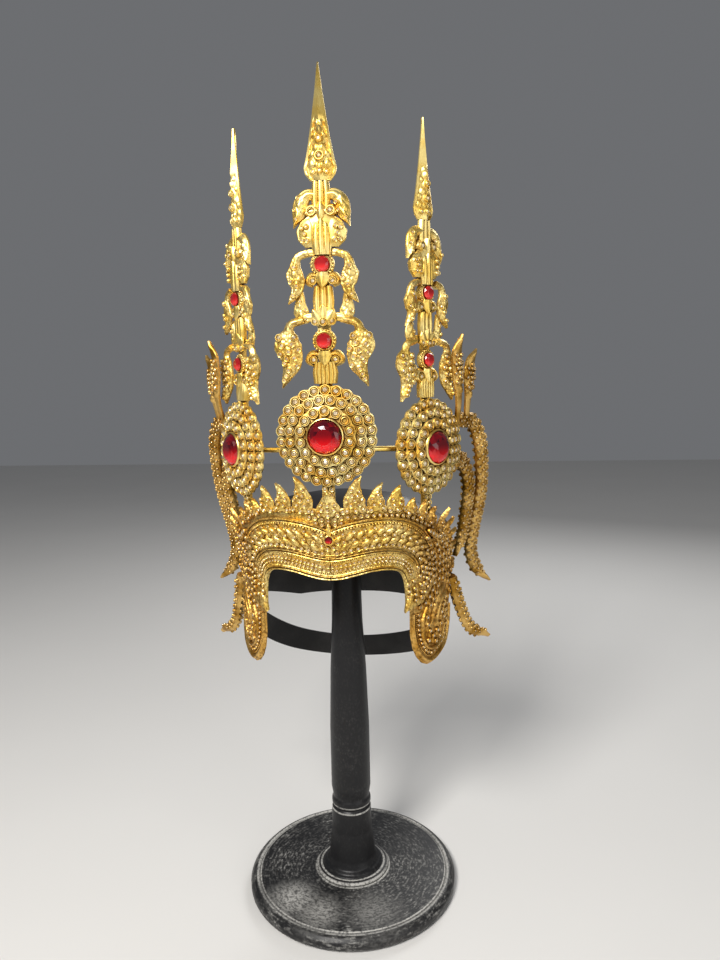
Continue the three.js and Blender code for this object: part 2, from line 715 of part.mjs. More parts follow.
// Rosette at the origin, then put in its place: scalloped tiers one in front of the other, and a stone
function rosette(label, place) {
  const frame = standing(point([0, 0, 0]), 0);
  let depth = SPIRE_PLATE + GAP;
  TIERS.forEach(({ name, r, lobes, thick }) => {
    const ring = (d) => circle(lobes * 2, 1, 0, (u, up) => [u, up]).map(([u, up], i) => {
      const reach = i % 2 === 0 ? r * (1 - LOBE_DEPTH) : r;
      return frame.at(u * reach, d, up * reach);
    });
    piece(`${label}_${name}`, loft([ring(depth), ring(depth + thick)]).applyMatrix4(place), GILT);
    depth += thick + GAP;
  });
  const seated = { at: (u, d, h) => frame.at(u, depth + d, h) };
  piece(`${label}_gem`, cutStone(seated, GEM, 0).applyMatrix4(place), RED);
}

// Spire on a bar that stands behind the rosette, built at the origin and put in its place; k sizes it
// above the rosette's top
function spire(label, place, z, k) {
  const frame = standing(point([0, 0, 0]), 0);
  const cast = (name, geometry, finish) => piece(`${label}_${name}`, geometry.applyMatrix4(place), finish);
  const up = (h) => (h < ROSETTE_TOP ? h : ROSETTE_TOP + (h - ROSETTE_TOP) * k);
  const at = (u, d, h) => frame.at(u * k, d, up(h));
  const faceOf = () => frame.out;
  const leaf = (points, left, right, back, shape) => blade(
    points.map(([u, h]) => at(u, back, h)), left.map((w) => w * k), right.map((w) => w * k), shape, faceOf);
  const even = (points, half, back, shape) => leaf(points, half, half, back, shape);
  const wing = ({ spine, outer, inner, back, blade: shape }, side) => leaf(
    spine.map(([u, h]) => [side * u, h]), side > 0 ? outer : inner, side > 0 ? inner : outer, back, shape);
  const foot = BAR.low + CENTRE_Z - z;
  const stem = [loft([foot, BAR.high].map((h) => [
    at(-BAR.half, 0, h), at(BAR.half, 0, h), at(BAR.half, SPIRE_PLATE, h), at(-BAR.half, SPIRE_PLATE, h)]))];
  FLUTED.forEach(({ low, high, half, deep }) => {
    stem.push(loft([low, (low + high) / 2, high].map((h, row) => {
      const w = half * FLUTED_WIDTHS[row];
      const front = Array.from({ length: FLUTES + 1 }, (_, i) => (
        at(w * ((2 * i) / FLUTES - 1), i % 2 === 0 ? SPIRE_PLATE : deep, h)));
      return [at(w, FLUTED_BACK, h), at(-w, FLUTED_BACK, h), ...front];
    })));
  });
  STONES.forEach(({ r, z: h }) => {
    const ring = (radius, d) => circle(BEZEL.sides, radius, 0, (u, rise) => at(u, d, h + rise));
    const wall = r + BEZEL.wall;
    stem.push(loft([ring(wall, BEZEL.back), ring(wall, BEZEL.deep), ring(r + BEZEL.lip, BEZEL.high)]));
  });
  CURLS.forEach(({ z: h }) => {
    stem.push(even([[0, h + PETAL.rise], [0, h], [0, h - PETAL.drop]], PETAL.half, PETAL.back, PETAL.blade));
  });
  [1, -1].forEach((side) => {
    ARMS.forEach(({ z: h, reach, rise, half }) => {
      const points = [[0, h + ARM.root], [(side * reach) / 2, h + ARM.middle], [side * reach, h + rise]];
      stem.push(even(points, ARM.half.map((share) => share * half), 0, ARM.blade));
    });
    CURLS.forEach(({ z: h, reach, drop, half }) => {
      const points = [
        [side * CURL.root.u, h + CURL.root.rise],
        [side * reach * CURL.top.reach, h + CURL.top.rise],
        [side * reach * CURL.turn.reach, h - drop * CURL.turn.drop],
        [side * reach * CURL.end.reach, h - drop * CURL.end.drop],
      ];
      stem.push(even(points, CURL.half.map((share) => share * half), CURL.back, CURL.blade));
    });
    stem.push(even(SIDE_LEAF.spine.map(([u, h]) => [side * u, h]), SIDE_LEAF.half, 0, SIDE_LEAF.blade));
    stem.push(wing(WINGS.top, side));
  });
  const budSpine = [BUD.low, (BUD.low + BUD.high) / 2, BUD.high].map((h) => [0, h]);
  stem.push(even(budSpine, BUD.half, BUD.back, BUD.blade));
  cast('stem', fuse(stem), GILT);
  const seated = { at: (u, d, h) => frame.at(u, BEZEL.high + GAP + d, h) };
  STONES.forEach(({ name, r, z: h }) => {
    cast(name, cutStone(seated, { ...STONE, r: r * k }, up(h)), RED);
  });
  ['low', 'mid'].forEach((height) => {
    cast(`wing_${height}_r`, wing(WINGS[height], 1), GILT);
    cast(`wing_${height}_l`, wing(WINGS[height], -1), GILT);
  });
  const { deep, back, edgeBack, edgeFront, slim, fullHalf } = SPEAR_SECTION;
  const head = SPEAR.map(({ z: h, half }) => {
    const share = Math.min(1, slim + half / fullHalf);
    const ridge = Math.max(edgeFront, deep * share);
    return [
      at(-half, edgeBack, h), at(-half, edgeFront, h), at(0, ridge, h),
      at(half, edgeFront, h), at(half, edgeBack, h), at(0, back * share, h),
    ];
  });
  cast('spearhead', loft(head), GILT);
}

stand();
backPanel();
napeStrap();
browBand();
crest();
earFlaps();
stalks();
rods();
[
  { label: 'centre', deg: 0, facing: 0, z: CENTRE_Z, k: 1 },
  { label: 'right', deg: SIDE_ANGLE, facing: SIDE_FACE, z: SIDE_Z, k: SIDE_SCALE },
  { label: 'left', deg: -SIDE_ANGLE, facing: -SIDE_FACE, z: SIDE_Z, k: SIDE_SCALE },
].forEach(({ label, deg, facing, z, k }) => {
  const place = new THREE.Matrix4().makeRotationZ(rad(facing)).setPosition(polar(deg, SPIRE_BACK, z));
  rosette(label, place);
  spire(label, place, z, k);
});

export default group;
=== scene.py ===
"""Looks of a gilt dance headdress with red and clear stones, on a turned black stand."""

import logging
import math
from dataclasses import dataclass, field, replace
from enum import Enum
from typing import Any, Callable, Iterable, Mapping, Sequence

import bmesh
import bpy
import numpy as np
from mathutils import Matrix

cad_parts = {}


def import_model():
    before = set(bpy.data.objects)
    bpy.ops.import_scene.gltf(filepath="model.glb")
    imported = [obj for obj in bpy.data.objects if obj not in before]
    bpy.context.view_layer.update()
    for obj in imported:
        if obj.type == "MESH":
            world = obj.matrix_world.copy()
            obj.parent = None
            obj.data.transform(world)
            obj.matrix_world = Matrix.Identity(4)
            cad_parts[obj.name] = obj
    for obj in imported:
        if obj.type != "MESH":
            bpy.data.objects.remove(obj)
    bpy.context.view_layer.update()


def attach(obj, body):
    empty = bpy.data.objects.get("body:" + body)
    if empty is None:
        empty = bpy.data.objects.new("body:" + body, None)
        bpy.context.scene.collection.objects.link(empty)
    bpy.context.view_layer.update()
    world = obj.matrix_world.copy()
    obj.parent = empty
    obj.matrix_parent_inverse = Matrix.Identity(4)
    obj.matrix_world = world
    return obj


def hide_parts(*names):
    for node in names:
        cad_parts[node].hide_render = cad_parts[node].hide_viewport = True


Array = np.ndarray
Rule = Callable[[Array], Array]
Shape = tuple[Array, Array]
Colour = tuple[float, float, float]
Pair = tuple[float, float]
Row = tuple[float, ...]
Rows = tuple[Row, ...]
log = logging.getLogger("headdress")

MM = 0.001
BODY = "root"


class Slot(Enum):
    """Finishes that the record names."""

    GILT = "gilt"
    RED = "red_glass"
    WOOD = "black_wood"
    HIDE = "black_leather"


class Side(Enum):
    """Side of the crown, as its front is seen."""

    RIGHT = 1
    LEFT = -1

    @property
    def label(self) -> str:
        """Ending of the names on this side."""
        return self.name.lower()

    def rule(self, points: Array) -> Array:
        """Put points of the right side on this side."""
        return points * np.array([self.value, 1.0, 1.0])


def as_is(points: Array) -> Array:
    """Leave points where they are."""
    return points


# Shader writing


class Wire:
    """A socket in a finish, with arithmetic that adds the nodes it needs."""

    def __init__(self, sheet: "NodeSheet", socket: Any) -> None:
        """Keep the socket and the sheet that it is on."""
        self.sheet = sheet
        self.socket = socket

    def _sum(self, operation: str, first: Any, second: Any) -> "Wire":
        """Join two values, or wires, with one Math node."""
        return self.sheet.out("ShaderNodeMath", {"operation": operation}, {0: first, 1: second})

    def __add__(self, other: Any) -> "Wire":
        """Add."""
        return self._sum("ADD", self, other)

    __radd__ = __add__

    def __sub__(self, other: Any) -> "Wire":
        """Take away."""
        return self._sum("SUBTRACT", self, other)

    def __rsub__(self, other: Any) -> "Wire":
        """Take this away from a number."""
        return self._sum("SUBTRACT", other, self)

    def __mul__(self, other: Any) -> "Wire":
        """Multiply."""
        return self._sum("MULTIPLY", self, other)

    __rmul__ = __mul__

    def __pow__(self, other: Any) -> "Wire":
        """Raise to a power."""
        return self._sum("POWER", self, other)

    def most(self, other: Any) -> "Wire":
        """Larger of two."""
        return self._sum("MAXIMUM", self, other)

    def least(self, other: Any) -> "Wire":
        """Smaller of two."""
        return self._sum("MINIMUM", self, other)

    def step(self, low: float, high: float) -> "Wire":
        """Ease from 0 at low to 1 at high."""
        values = {"Value": self, "From Min": low, "From Max": high}
        return self.sheet.out("ShaderNodeMapRange", {"interpolation_type": "SMOOTHSTEP"}, values)


class NodeSheet:
    """Nodes of one finish, with its main shader."""

    def __init__(self, name: str) -> None:
        """Start a finish with a main shader and its output.

        Args:
            name: its name.
        """
        self.material = bpy.data.materials.new(name)
        self.material.use_nodes = True
        self.tree = self.material.node_tree
        self.tree.nodes.clear()
        self.shader = self.tree.nodes.new("ShaderNodeBsdfPrincipled")
        output = self.tree.nodes.new("ShaderNodeOutputMaterial")
        self.tree.links.new(self.shader.outputs[0], output.inputs[0])

    def out(self, kind: str, settings: Mapping[str, Any], values: Mapping[Any, Any], name: Any = 0) -> Wire:
        """Add one node and take one of its outputs.

        Args:
            kind: node type.
            settings: properties that are set first.
            values: socket values or wires by name or place.
            name: name or place of the output.

        Returns:
            The output's wire.
        """
        node = self.tree.nodes.new(kind)
        for key, value in settings.items():
            setattr(node, key, value)
        for key, value in values.items():
            self.put(node.inputs[key], value)
        return Wire(self, node.outputs[name])

    def put(self, socket: Any, value: Any) -> None:
        """Set a socket to a value, or link a wire to it.

        Args:
            socket: the socket.
            value: the value or wire.
        """
        if isinstance(value, Wire):
            self.tree.links.new(value.socket, socket)
        else:
            socket.default_value = value

    def mix(self, share: Any, first: Any, second: Any) -> Wire:
        """Blend from a first colour at 0 to a second at 1."""
        return self.out("ShaderNodeMix", {"data_type": "RGBA"}, {0: share, 6: first, 7: second}, 2)

    def place(self) -> Wire:
        """Coordinates of the object, in metres."""
        return self.out("ShaderNodeTexCoord", {}, {}, "Object")

    def axes(self, vector: Wire) -> tuple[Wire, ...]:
        """The three parts of a vector."""
        node = self.out("ShaderNodeSeparateXYZ", {}, {0: vector}).socket.node
        return tuple(Wire(self, socket) for socket in node.outputs)

    def noise(self, scale: float, detail: float = 3.0, where: Wire | None = None) -> Wire:
        """Cloudy value from 0 to 1.

        Args:
            scale: cells to the metre.
            detail: octaves.
            where: coordinates, or the object's own.

        Returns:
            The value.
        """
        values = {"Vector": where or self.place(), "Scale": scale, "Detail": detail}
        return self.out("ShaderNodeTexNoise", {}, values)

    def hollow(self, reach: float) -> Wire:
        """Openness of the surface within a reach in metres: 0 deep in a hollow, 1 in the open."""
        return self.out("ShaderNodeAmbientOcclusion", {"samples": 6}, {"Distance": reach}, "AO")

    def cells(self, scale: float) -> Wire:
        """Distance to the middle of scattered cells, with so many to the metre."""
        return self.out("ShaderNodeTexVoronoi", {}, {"Vector": self.place(), "Scale": scale}, "Distance")

    def bump(self, height: Wire, strength: float, deep: float) -> Wire:
        """Normal bent by a fine relief, where a height of 1 is deep metres."""
        return self.out("ShaderNodeBump", {}, {"Height": height, "Strength": strength, "Distance": deep})

    def set(self, **values: Any) -> Any:
        """Set the main shader's sockets, with a low line for each space in a name.

        Args:
            values: values or wires by socket.

        Returns:
            The material.
        """
        for name, value in values.items():
            self.put(self.shader.inputs[name.replace("_", " ")], value)
        return self.material


def paint(colour: Colour) -> tuple[float, float, float, float]:
    """Colour with full cover."""
    return (*colour, 1.0)


# Finishes


# Darker, browner gilt: painted shade that falls on the sides, used for the ear flaps and towards the ears.
SHADED_GILT = ((0.78, 0.48, 0.135), (0.55, 0.275, 0.038), (0.075, 0.022, 0.002))


@dataclass(frozen=True)
class Gilt:
    """Gold leaf over cast metal, with painted brown shade in its hollows and, where set, towards the ears.

    Clouds, grain and cells are counts to the metre, creases and relief a reach and a depth in metres.
    """

    CLOUDS = 60.0
    GRAIN = 700.0
    CELLS = 430.0
    CRACKS = 0.0014
    RELIEF = 0.0004

    name: str
    bright: Colour = (0.96, 0.76, 0.29)
    warm: Colour = (0.87, 0.59, 0.125)
    # The deep tone is the colour of the painted shade.
    deep: Colour = (0.19, 0.062, 0.003)
    rough: float = 0.36
    reach: float = 0.005
    chased: float = 0.0
    # Distances from the middle, in metres, over which the tones turn to the darker gilt: painted shade of the
    # sides.
    fade: Pair | None = None

    def material(self) -> Any:
        """Write the finish.

        Returns:
            The material.
        """
        sheet = NodeSheet(self.name)
        cloud = sheet.noise(self.CLOUDS, 4.0)
        fine = sheet.noise(self.GRAIN)
        # Painted shade: the colour turns to the deep tone where ambient occlusion finds a hollow or a tight
        # crease; these places are rougher too.
        hollow_shade = 1 - sheet.hollow(self.reach).step(0.12, 0.78)
        hollow_shade = hollow_shade.most(0.9 - 0.9 * sheet.hollow(self.CRACKS).step(0.1, 0.8))
        relief = 0.4 * fine
        if self.chased:
            cells = sheet.cells(self.CELLS)
            # Painted shade in the grooves between the chased cells as well.
            hollow_shade = hollow_shade.most(cells.step(0.45, 0.8) * self.chased)
            relief = relief - 1.6 * cells
        tones: list[Any] = [paint(self.bright), paint(self.warm), paint(self.deep)]
        # Painted shade of the sides: each tone turns to the darker gilt towards the ears.
        if self.fade:
            x = sheet.axes(sheet.place())[0]
            far = x.most(0 - x).step(*self.fade)
            tones = [sheet.mix(far, front_tone, paint(side_tone)) for front_tone, side_tone in zip(tones, SHADED_GILT)]
        leaf = sheet.mix(cloud.step(0.36, 0.66), tones[0], tones[1])
        return sheet.set(
            Base_Color=sheet.mix(hollow_shade, leaf, tones[2]),
            Metallic=1.0,
            Roughness=self.rough + 0.12 * fine + 0.2 * hollow_shade,
            Normal=sheet.bump(relief, 0.4, self.RELIEF),
        )


@dataclass(frozen=True)
class RedGlass:
    """Red cut glass over foil with painted light: a painted brightness for each facet, bright below, dark
    above.

    The spread turns a facet's direction into a painted brightness of its own.
    """

    SPREAD = (7.3, 3.1, 5.7)

    name: str
    dark: Colour = (0.032, 0.0, 0.003)
    lit: Colour = (0.82, 0.003, 0.005)

    def material(self) -> Any:
        """Write the finish.

        Returns:
            The material.
        """
        sheet = NodeSheet(self.name)
        x, y, z = sheet.axes(sheet.out("ShaderNodeNewGeometry", {}, {}, "Normal"))
        a, b, c = self.SPREAD
        facet = sheet.out("ShaderNodeMath", {"operation": "FRACT"}, {0: x * a + y * b + z * c})
        low = sheet.axes(sheet.out("ShaderNodeTexCoord", {}, {}, "Generated"))[2]
        # Painted light: the lower part of the stone and its downward facets are painted bright red, the top
        # dark red, and each facet gets its own painted brightness.
        share = (1 - low.step(0.06, 0.62)) * 0.75 + (0 - z).step(-0.1, 0.5) * 0.2 + facet * 0.14
        return sheet.set(
            Base_Color=sheet.mix(share, paint(self.dark), paint(self.lit)),
            Roughness=0.08 + 0.08 * facet,
            Coat_Weight=0.2,
            Coat_Roughness=0.03,
            IOR=1.5,
        )


@dataclass(frozen=True)
class ClearStone:
    """Clear cut glass on foil, tinted cream as a painted reflection of the gold round it, with clouds counted
    to the metre.
    """

    CLOUDS = 380.0

    name: str
    tint: Colour = (0.92, 0.79, 0.56)
    shade: Colour = (0.52, 0.35, 0.16)

    def material(self) -> Any:
        """Write the finish.

        Returns:
            The material.
        """
        sheet = NodeSheet(self.name)
        cloud = sheet.noise(self.CLOUDS, 1.0)
        return sheet.set(
            # The cream tint is a painted reflection of the gold cups; the clouds vary the tone at random.
            Base_Color=sheet.mix(cloud.step(0.36, 0.68), paint(self.tint), paint(self.shade)),
            Metallic=0.6,
            Roughness=0.16 + 0.14 * cloud,
            Coat_Weight=0.4,
            Coat_Roughness=0.04,
            IOR=1.55,
        )


@dataclass(frozen=True)
class WornWood:
    """Black paint on turned wood, rubbed pale along its edges, in brush rings and in patches.

    An edge has its radius, height and width, a patch its place, size and strength. The brush marks are
    counts across and up to the metre and round to the radian, clouds and specks counts to the metre.
    """

    BRUSH = (460.0, 11.0, 330.0)
    CLOUDS = 34.0
    SPECKS = 420.0
    RELIEF = 0.0003

    name: str
    black: Colour = (0.008, 0.008, 0.009)
    pale: Colour = (0.50, 0.49, 0.46)
    edges: Rows = ()
    scuff: float = 0.0
    patches: Rows = ()

    def material(self) -> Any:
        """Write the finish.

        Returns:
            The material.
        """
        sheet = NodeSheet(self.name)
        x, y, high = sheet.axes(sheet.place())
        radius = (x * x + y * y) ** 0.5
        turn = sheet.out("ShaderNodeMath", {"operation": "ARCTAN2"}, {0: y, 1: x})
        across, around, up = self.BRUSH
        ring = sheet.out("ShaderNodeCombineXYZ", {}, {0: radius * across, 1: turn * around, 2: high * up})
        brushed = sheet.noise(1.0, 5.0, ring)
        cloud = sheet.noise(self.CLOUDS, 4.0)
        speck = sheet.noise(self.SPECKS, 4.0)
        worn = (0.06 + 0.94 * brushed.step(0.42, 0.74)) * (0.1 + 0.9 * speck.step(0.34, 0.62))
        rubbed = (0.3 + 0.7 * brushed.step(0.3, 0.56)) * (0.4 + 0.6 * speck.step(0.34, 0.56))
        wear = worn * (0.2 + 0.8 * cloud.step(0.36, 0.7)) * self.scuff
        for at_x, at_y, size, most in self.patches:
            far = (((x - at_x) ** 2.0 + (y - at_y) ** 2.0) ** 0.5 + 0.02 * (cloud - 0.5)).step(0.0, size)
            wear = wear.most((1 - far) * rubbed * most)
        for at_radius, at_height, width in self.edges:
            near = ((radius - at_radius) ** 2.0 + (high - at_height) ** 2.0) ** 0.5
            edge = 1 - near.step(0.2 * width, width)
            broken = (0.3 + 0.7 * speck.step(0.32, 0.56)) * (0.5 + 0.5 * cloud.step(0.3, 0.6))
            wear = wear.most(edge * broken)
        return sheet.set(
            Base_Color=sheet.mix(wear.least(0.9), paint(self.black), paint(self.pale)),
            Roughness=0.34 + 0.35 * wear + 0.1 * speck,
            Specular_IOR_Level=0.28,
            Normal=sheet.bump(brushed + 0.4 * speck, 0.2, self.RELIEF),
        )


@dataclass(frozen=True)
class Hide:
    """Black leather with a fine grain: grain and clouds count to the metre, the relief is a depth."""

    GRAIN = 620.0
    CLOUDS = 28.0
    RELIEF = 0.0004

    name: str
    black: Colour = (0.010, 0.0095, 0.0095)
    grey: Colour = (0.032, 0.030, 0.029)

    def material(self) -> Any:
        """Write the finish.

        Returns:
            The material.
        """
        sheet = NodeSheet(self.name)
        grain = sheet.cells(self.GRAIN)
        cloud = sheet.noise(self.CLOUDS, 4.0)
        return sheet.set(
            Base_Color=sheet.mix(cloud.step(0.4, 0.75), paint(self.black), paint(self.grey)),
            Roughness=0.5 + 0.2 * cloud,
            Normal=sheet.bump(grain, 0.5, self.RELIEF),
        )


@dataclass(frozen=True)
class StudioPaper:
    """Pale floor of the studio."""

    name: str
    pale: Colour = (0.70, 0.69, 0.67)
    paler: Colour = (0.74, 0.73, 0.71)

    def material(self) -> Any:
        """Write the finish.

        Returns:
            The material.
        """
        sheet = NodeSheet(self.name)
        colour = sheet.mix(sheet.noise(3.0, 2.0), paint(self.pale), paint(self.paler))
        return sheet.set(Base_Color=colour, Roughness=0.85)


class Paints:
    """The finishes of this object, each written once."""

    def __init__(self) -> None:
        """Write every finish that more than one piece has."""
        self.leaf = Gilt("gilt_leaf").material()
        self.chased = Gilt("gilt_chased", chased=0.6).material()
        self.pale = Gilt(
            "gilt_pale", (1.0, 0.84, 0.37), (0.91, 0.58, 0.11), (0.15, 0.04, 0.002), reach=0.0055
        ).material()
        # Chased gilt that darkens towards the ears: painted shade of the sides.
        self.faded = Gilt("gilt_faded", chased=0.65, reach=0.006, fade=(0.055, 0.092)).material()
        # Darker gilt of the ear flaps: painted shade of the sides.
        self.aged = Gilt("gilt_aged", *SHADED_GILT, chased=0.55).material()
        # Dark gilt of the stalks beside the ears: its darker tones paint the shade that falls on them, and
        # its very dark deep tone the painted shade between their scales.
        self.rope = Gilt(
            "gilt_rope", (0.76, 0.49, 0.15), (0.39, 0.20, 0.026), (0.024, 0.006, 0.0005), reach=0.0085
        ).material()
        self.plain = Gilt("gilt_plain", rough=0.26, reach=0.008).material()
        self.red = RedGlass("red_cut_glass").material()
        self.pink = RedGlass("pink_cut_glass", (0.22, 0.005, 0.007), (0.82, 0.035, 0.032)).material()
        self.clear = ClearStone("clear_cut_glass").material()
        self.hide = Hide("black_hide").material()
        self.paper = StudioPaper("studio_paper").material()


# Shape tools: everything is in millimetres until a mesh is made


class Lump:
    """Points and faces gathered for one joined mesh."""

    def __init__(self) -> None:
        """Start empty."""
        self.points: list[Array] = []
        self.faces: list[Array] = []
        self.count = 0

    def add(self, points: Array, faces: Array) -> "Lump":
        """Add points and faces.

        Args:
            points: points of shape (n, 3).
            faces: numbers of the points, a row for each face.

        Returns:
            This lump.
        """
        self.points.append(np.asarray(points, float).reshape(-1, 3))
        self.faces.append(np.asarray(faces, int) + self.count)
        self.count += len(self.points[-1])
        return self

    def skin(self, rows: Array) -> "Lump":
        """Add a closed skin over closed sections.

        Args:
            rows: points of shape (sections, points, 3).

        Returns:
            This lump.
        """
        count, ring = rows.shape[:2]
        i, j = np.arange(count - 1)[:, None] * ring, np.arange(ring)[None]
        k = (j + 1) % ring
        quads = np.stack([i + j, i + k, i + ring + k, i + ring + j], -1).reshape(-1, 4)
        self.add(rows, quads)
        first = self.count - count * ring
        for start, row in ((first, rows[0]), (self.count - ring, rows[-1])):
            edge = start + np.arange(ring)
            hub = np.full(ring, self.count)
            self.add(row.mean(0)[None], np.zeros((0, 3), int))
            self.faces.append(np.stack([hub, edge, np.roll(edge, -1)], -1))
        return self

    def copies(self, shape: Shape, seats: Array) -> None:
        """Add a shape on each seat.

        Args:
            shape: points (k, 3) and faces of the shape.
            seats: matrices of shape (n, 4, 3): three axes and the place.
        """
        points, faces = shape
        placed = np.einsum("kc,ncx->nkx", points, seats[:, :3]) + seats[:, None, 3]
        shift = (np.arange(len(seats)) * len(points))[:, None, None]
        self.add(placed, (faces[None] + shift).reshape(-1, faces.shape[1]))

    def mesh(self, name: str, material: Any, crease: float | None = 45.0, rule: Rule = as_is) -> Any:
        """Make the Blender object, with its faces turned outwards.

        Args:
            name: name of the piece.
            material: its finish.
            crease: angle over which an edge stays sharp; None keeps all faces flat.
            rule: puts the points in their place.

        Returns:
            The object.
        """
        points = rule(np.concatenate(self.points)) * MM
        sizes = np.concatenate([np.full(len(faces), faces.shape[1]) for faces in self.faces])
        data = bpy.data.meshes.new(name)
        data.vertices.add(len(points))
        data.vertices.foreach_set("co", points.astype(np.float32).ravel())
        data.loops.add(int(sizes.sum()))
        corners = np.concatenate([faces.ravel() for faces in self.faces])
        data.loops.foreach_set("vertex_index", corners.astype(np.int32))
        data.polygons.add(len(sizes))
        data.polygons.foreach_set("loop_start", (np.cumsum(sizes) - sizes).astype(np.int32))
        data.update(calc_edges=True)
        data.validate()
        shell = bmesh.new()
        shell.from_mesh(data)
        bmesh.ops.recalc_face_normals(shell, faces=shell.faces)
        shell.to_mesh(data)
        shell.free()
        data.materials.append(material)
        data.polygons.foreach_set("use_smooth", np.full(len(data.polygons), crease is not None))
        if crease is not None:
            data.set_sharp_from_angle(angle=math.radians(crease))
        obj = bpy.data.objects.new(name, data)
        bpy.context.scene.collection.objects.link(obj)
        return obj


def settle(obj: Any, nodes: Iterable[str] = ()) -> Any:
    """Tie a piece to the part and say what it stands for.

    Args:
        obj: the piece.
        nodes: CAD nodes that it replaces.

    Returns:
        The piece.
    """
    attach(obj, BODY)
    nodes = list(nodes)
    if nodes:
        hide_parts(*nodes)
    log.info("%s: %d faces, stands for %s", obj.name, len(obj.data.polygons), nodes or "trim")
    return obj


def unit(vectors: Array) -> Array:
    """Vectors of length 1."""
    return vectors / np.maximum(np.linalg.norm(vectors, axis=-1, keepdims=True), 1e-9)


def run_lengths(path: Array) -> Array:
    """Length along a path at each of its points."""
    return np.concatenate([[0.0], np.cumsum(np.linalg.norm(np.diff(path, axis=0), axis=1))])


def rounded(values: Sequence[float], t: Array) -> Array:
    """Values of an evenly spaced list, half eased between its entries.

    Args:
        values: the list.
        t: places from 0 to 1.

    Returns:
        A value for each place.
    """
    place = np.clip(t, 0, 1) * (len(values) - 1)
    low = np.minimum(place.astype(int), len(values) - 2)
    part = place - low
    table = np.asarray(values, float)
    return table[low] + (table[low + 1] - table[low]) * (part + part * part * (3 - 2 * part)) / 2


def bent(knots: Sequence[Sequence[float]], t: Array) -> Array:
    """Points of a smooth curve through knots.

    Args:
        knots: points of shape (n, 3).
        t: places from 0 to 1.

    Returns:
        A point for each place.
    """
    table = np.asarray(knots, float)
    place = np.clip(t, 0, 1) * (len(table) - 1)
    i = np.minimum(place.astype(int), len(table) - 2)
    w = (place - i)[:, None]
    full = np.vstack([2 * table[0] - table[1], table, 2 * table[-1] - table[-2]])
    p0, p1, p2, p3 = (full[i + k] for k in range(4))
    d0, d1, d2 = (
        np.sqrt(np.maximum(np.linalg.norm(b - a, axis=1, keepdims=True), 1e-6))
        for a, b in ((p0, p1), (p1, p2), (p2, p3))
    )
    m1 = ((p1 - p0) / d0 - (p2 - p0) / (d0 + d1) + (p2 - p1) / d1) * d1
    m2 = ((p2 - p1) / d1 - (p3 - p1) / (d1 + d2) + (p3 - p2) / d2) * d1
    return p1 + m1 * w + (3 * (p2 - p1) - 2 * m1 - m2) * w**2 + (2 * (p1 - p2) + m1 + m2) * w**3


def seats_at(points: Array, normals: Array, along: Array, size: Array | float) -> Array:
    """Matrices that stand shapes on a surface.

    Args:
        points: places of shape (n, 3).
        normals: directions that the shapes stand in.
        along: directions that their X axes lean to.
        size: size of each, or one size.

    Returns:
        Matrices of shape (n, 4, 3).
    """
    up = unit(normals)
    x = unit(along - up * (along * up).sum(-1, keepdims=True))
    scale = np.broadcast_to(np.asarray(size, float).reshape(-1, 1), (len(points), 1))
    return np.stack([x * scale, np.cross(up, x) * scale, up * scale, points], 1)


def lathe(profile: Sequence[Row], sides: int) -> Shape:
    """Shape turned about Z from radii and heights, with four-sided faces.

    Args:
        profile: radii and heights.
        sides: number of sides.

    Returns:
        Points and faces.
    """
    angle = np.arange(sides) * 2 * math.pi / sides
    r, z = (column[:, None] for column in np.array(profile, float).T)
    rows = np.stack([r * np.cos(angle), r * np.sin(angle), z + 0 * angle], -1)
    i, j = np.arange(len(profile) - 1)[:, None] * sides, np.arange(sides)[None]
    k = (j + 1) % sides
    return rows.reshape(-1, 3), np.stack([i + j, i + k, i + sides + k, i + sides + j], -1).reshape(-1, 4)


def cut_stone(sides: int, tiers: Sequence[Row]) -> Shape:
    """Faceted stone with a flat table.

    Args:
        sides: facets round the girdle.
        tiers: radius, height and turn in steps, from the underside to the table.

    Returns:
        Points and three-sided faces.
    """
    angle = (np.arange(sides) + np.array([turn for *_, turn in tiers])[:, None]) * 2 * math.pi / sides
    r, z = (np.array([tier[k] for tier in tiers])[:, None] for k in (0, 1))
    rings = np.stack([r * np.cos(angle), r * np.sin(angle), z + 0 * angle], -1).reshape(-1, 3)
    ends = np.array([[0, 0, tiers[0][1]], [0, 0, tiers[-1][1]]], float)
    j = np.arange(sides)
    k = (j + 1) % sides
    last = (len(tiers) - 1) * sides
    faces = [np.stack([np.full(sides, last + sides), k, j], -1)]
    faces.append(np.stack([np.full(sides, last + sides + 1), last + j, last + k], -1))
    for i in range(len(tiers) - 1):
        a, b, c, d = i * sides + j, i * sides + k, (i + 1) * sides + j, (i + 1) * sides + k
        faces += [np.stack([a, b, c], -1), np.stack([b, d, c], -1)]
    return np.concatenate([rings, ends]), np.concatenate(faces)


class Setting:
    """Shapes of the stones, their cups, beads and leaf scales, of outer radius 1."""

    CUP = lathe(
        [(1.0, -0.4), (1.0, 0.12), (0.93, 0.34), (0.83, 0.34), (0.73, 0.1), (0.63, 0.3), (0.52, 0.34),
         (0.43, 0.1)], 16,
    )
    FINE_CUP = lathe([(1.0, -0.4), (0.98, 0.22), (0.82, 0.48), (0.62, 0.4), (0.5, 0.1)], 10)
    GEM = cut_stone(8, [(0.38, 0.04, 0), (0.46, 0.22, 0), (0.36, 0.42, 0.5), (0.22, 0.5, 0.5)])
    FINE_GEM = cut_stone(8, [(0.56, 0.2, 0), (0.32, 0.5, 0.5)])
    BEAD = lathe([(0.02, 1.0), (0.55, 0.84), (0.9, 0.44), (1.0, 0.0), (0.85, -0.5)], 9)
    SCALE = lathe([(0.02, 0.6), (0.5, 0.5), (0.85, 0.24), (1.0, -0.25)], 12)


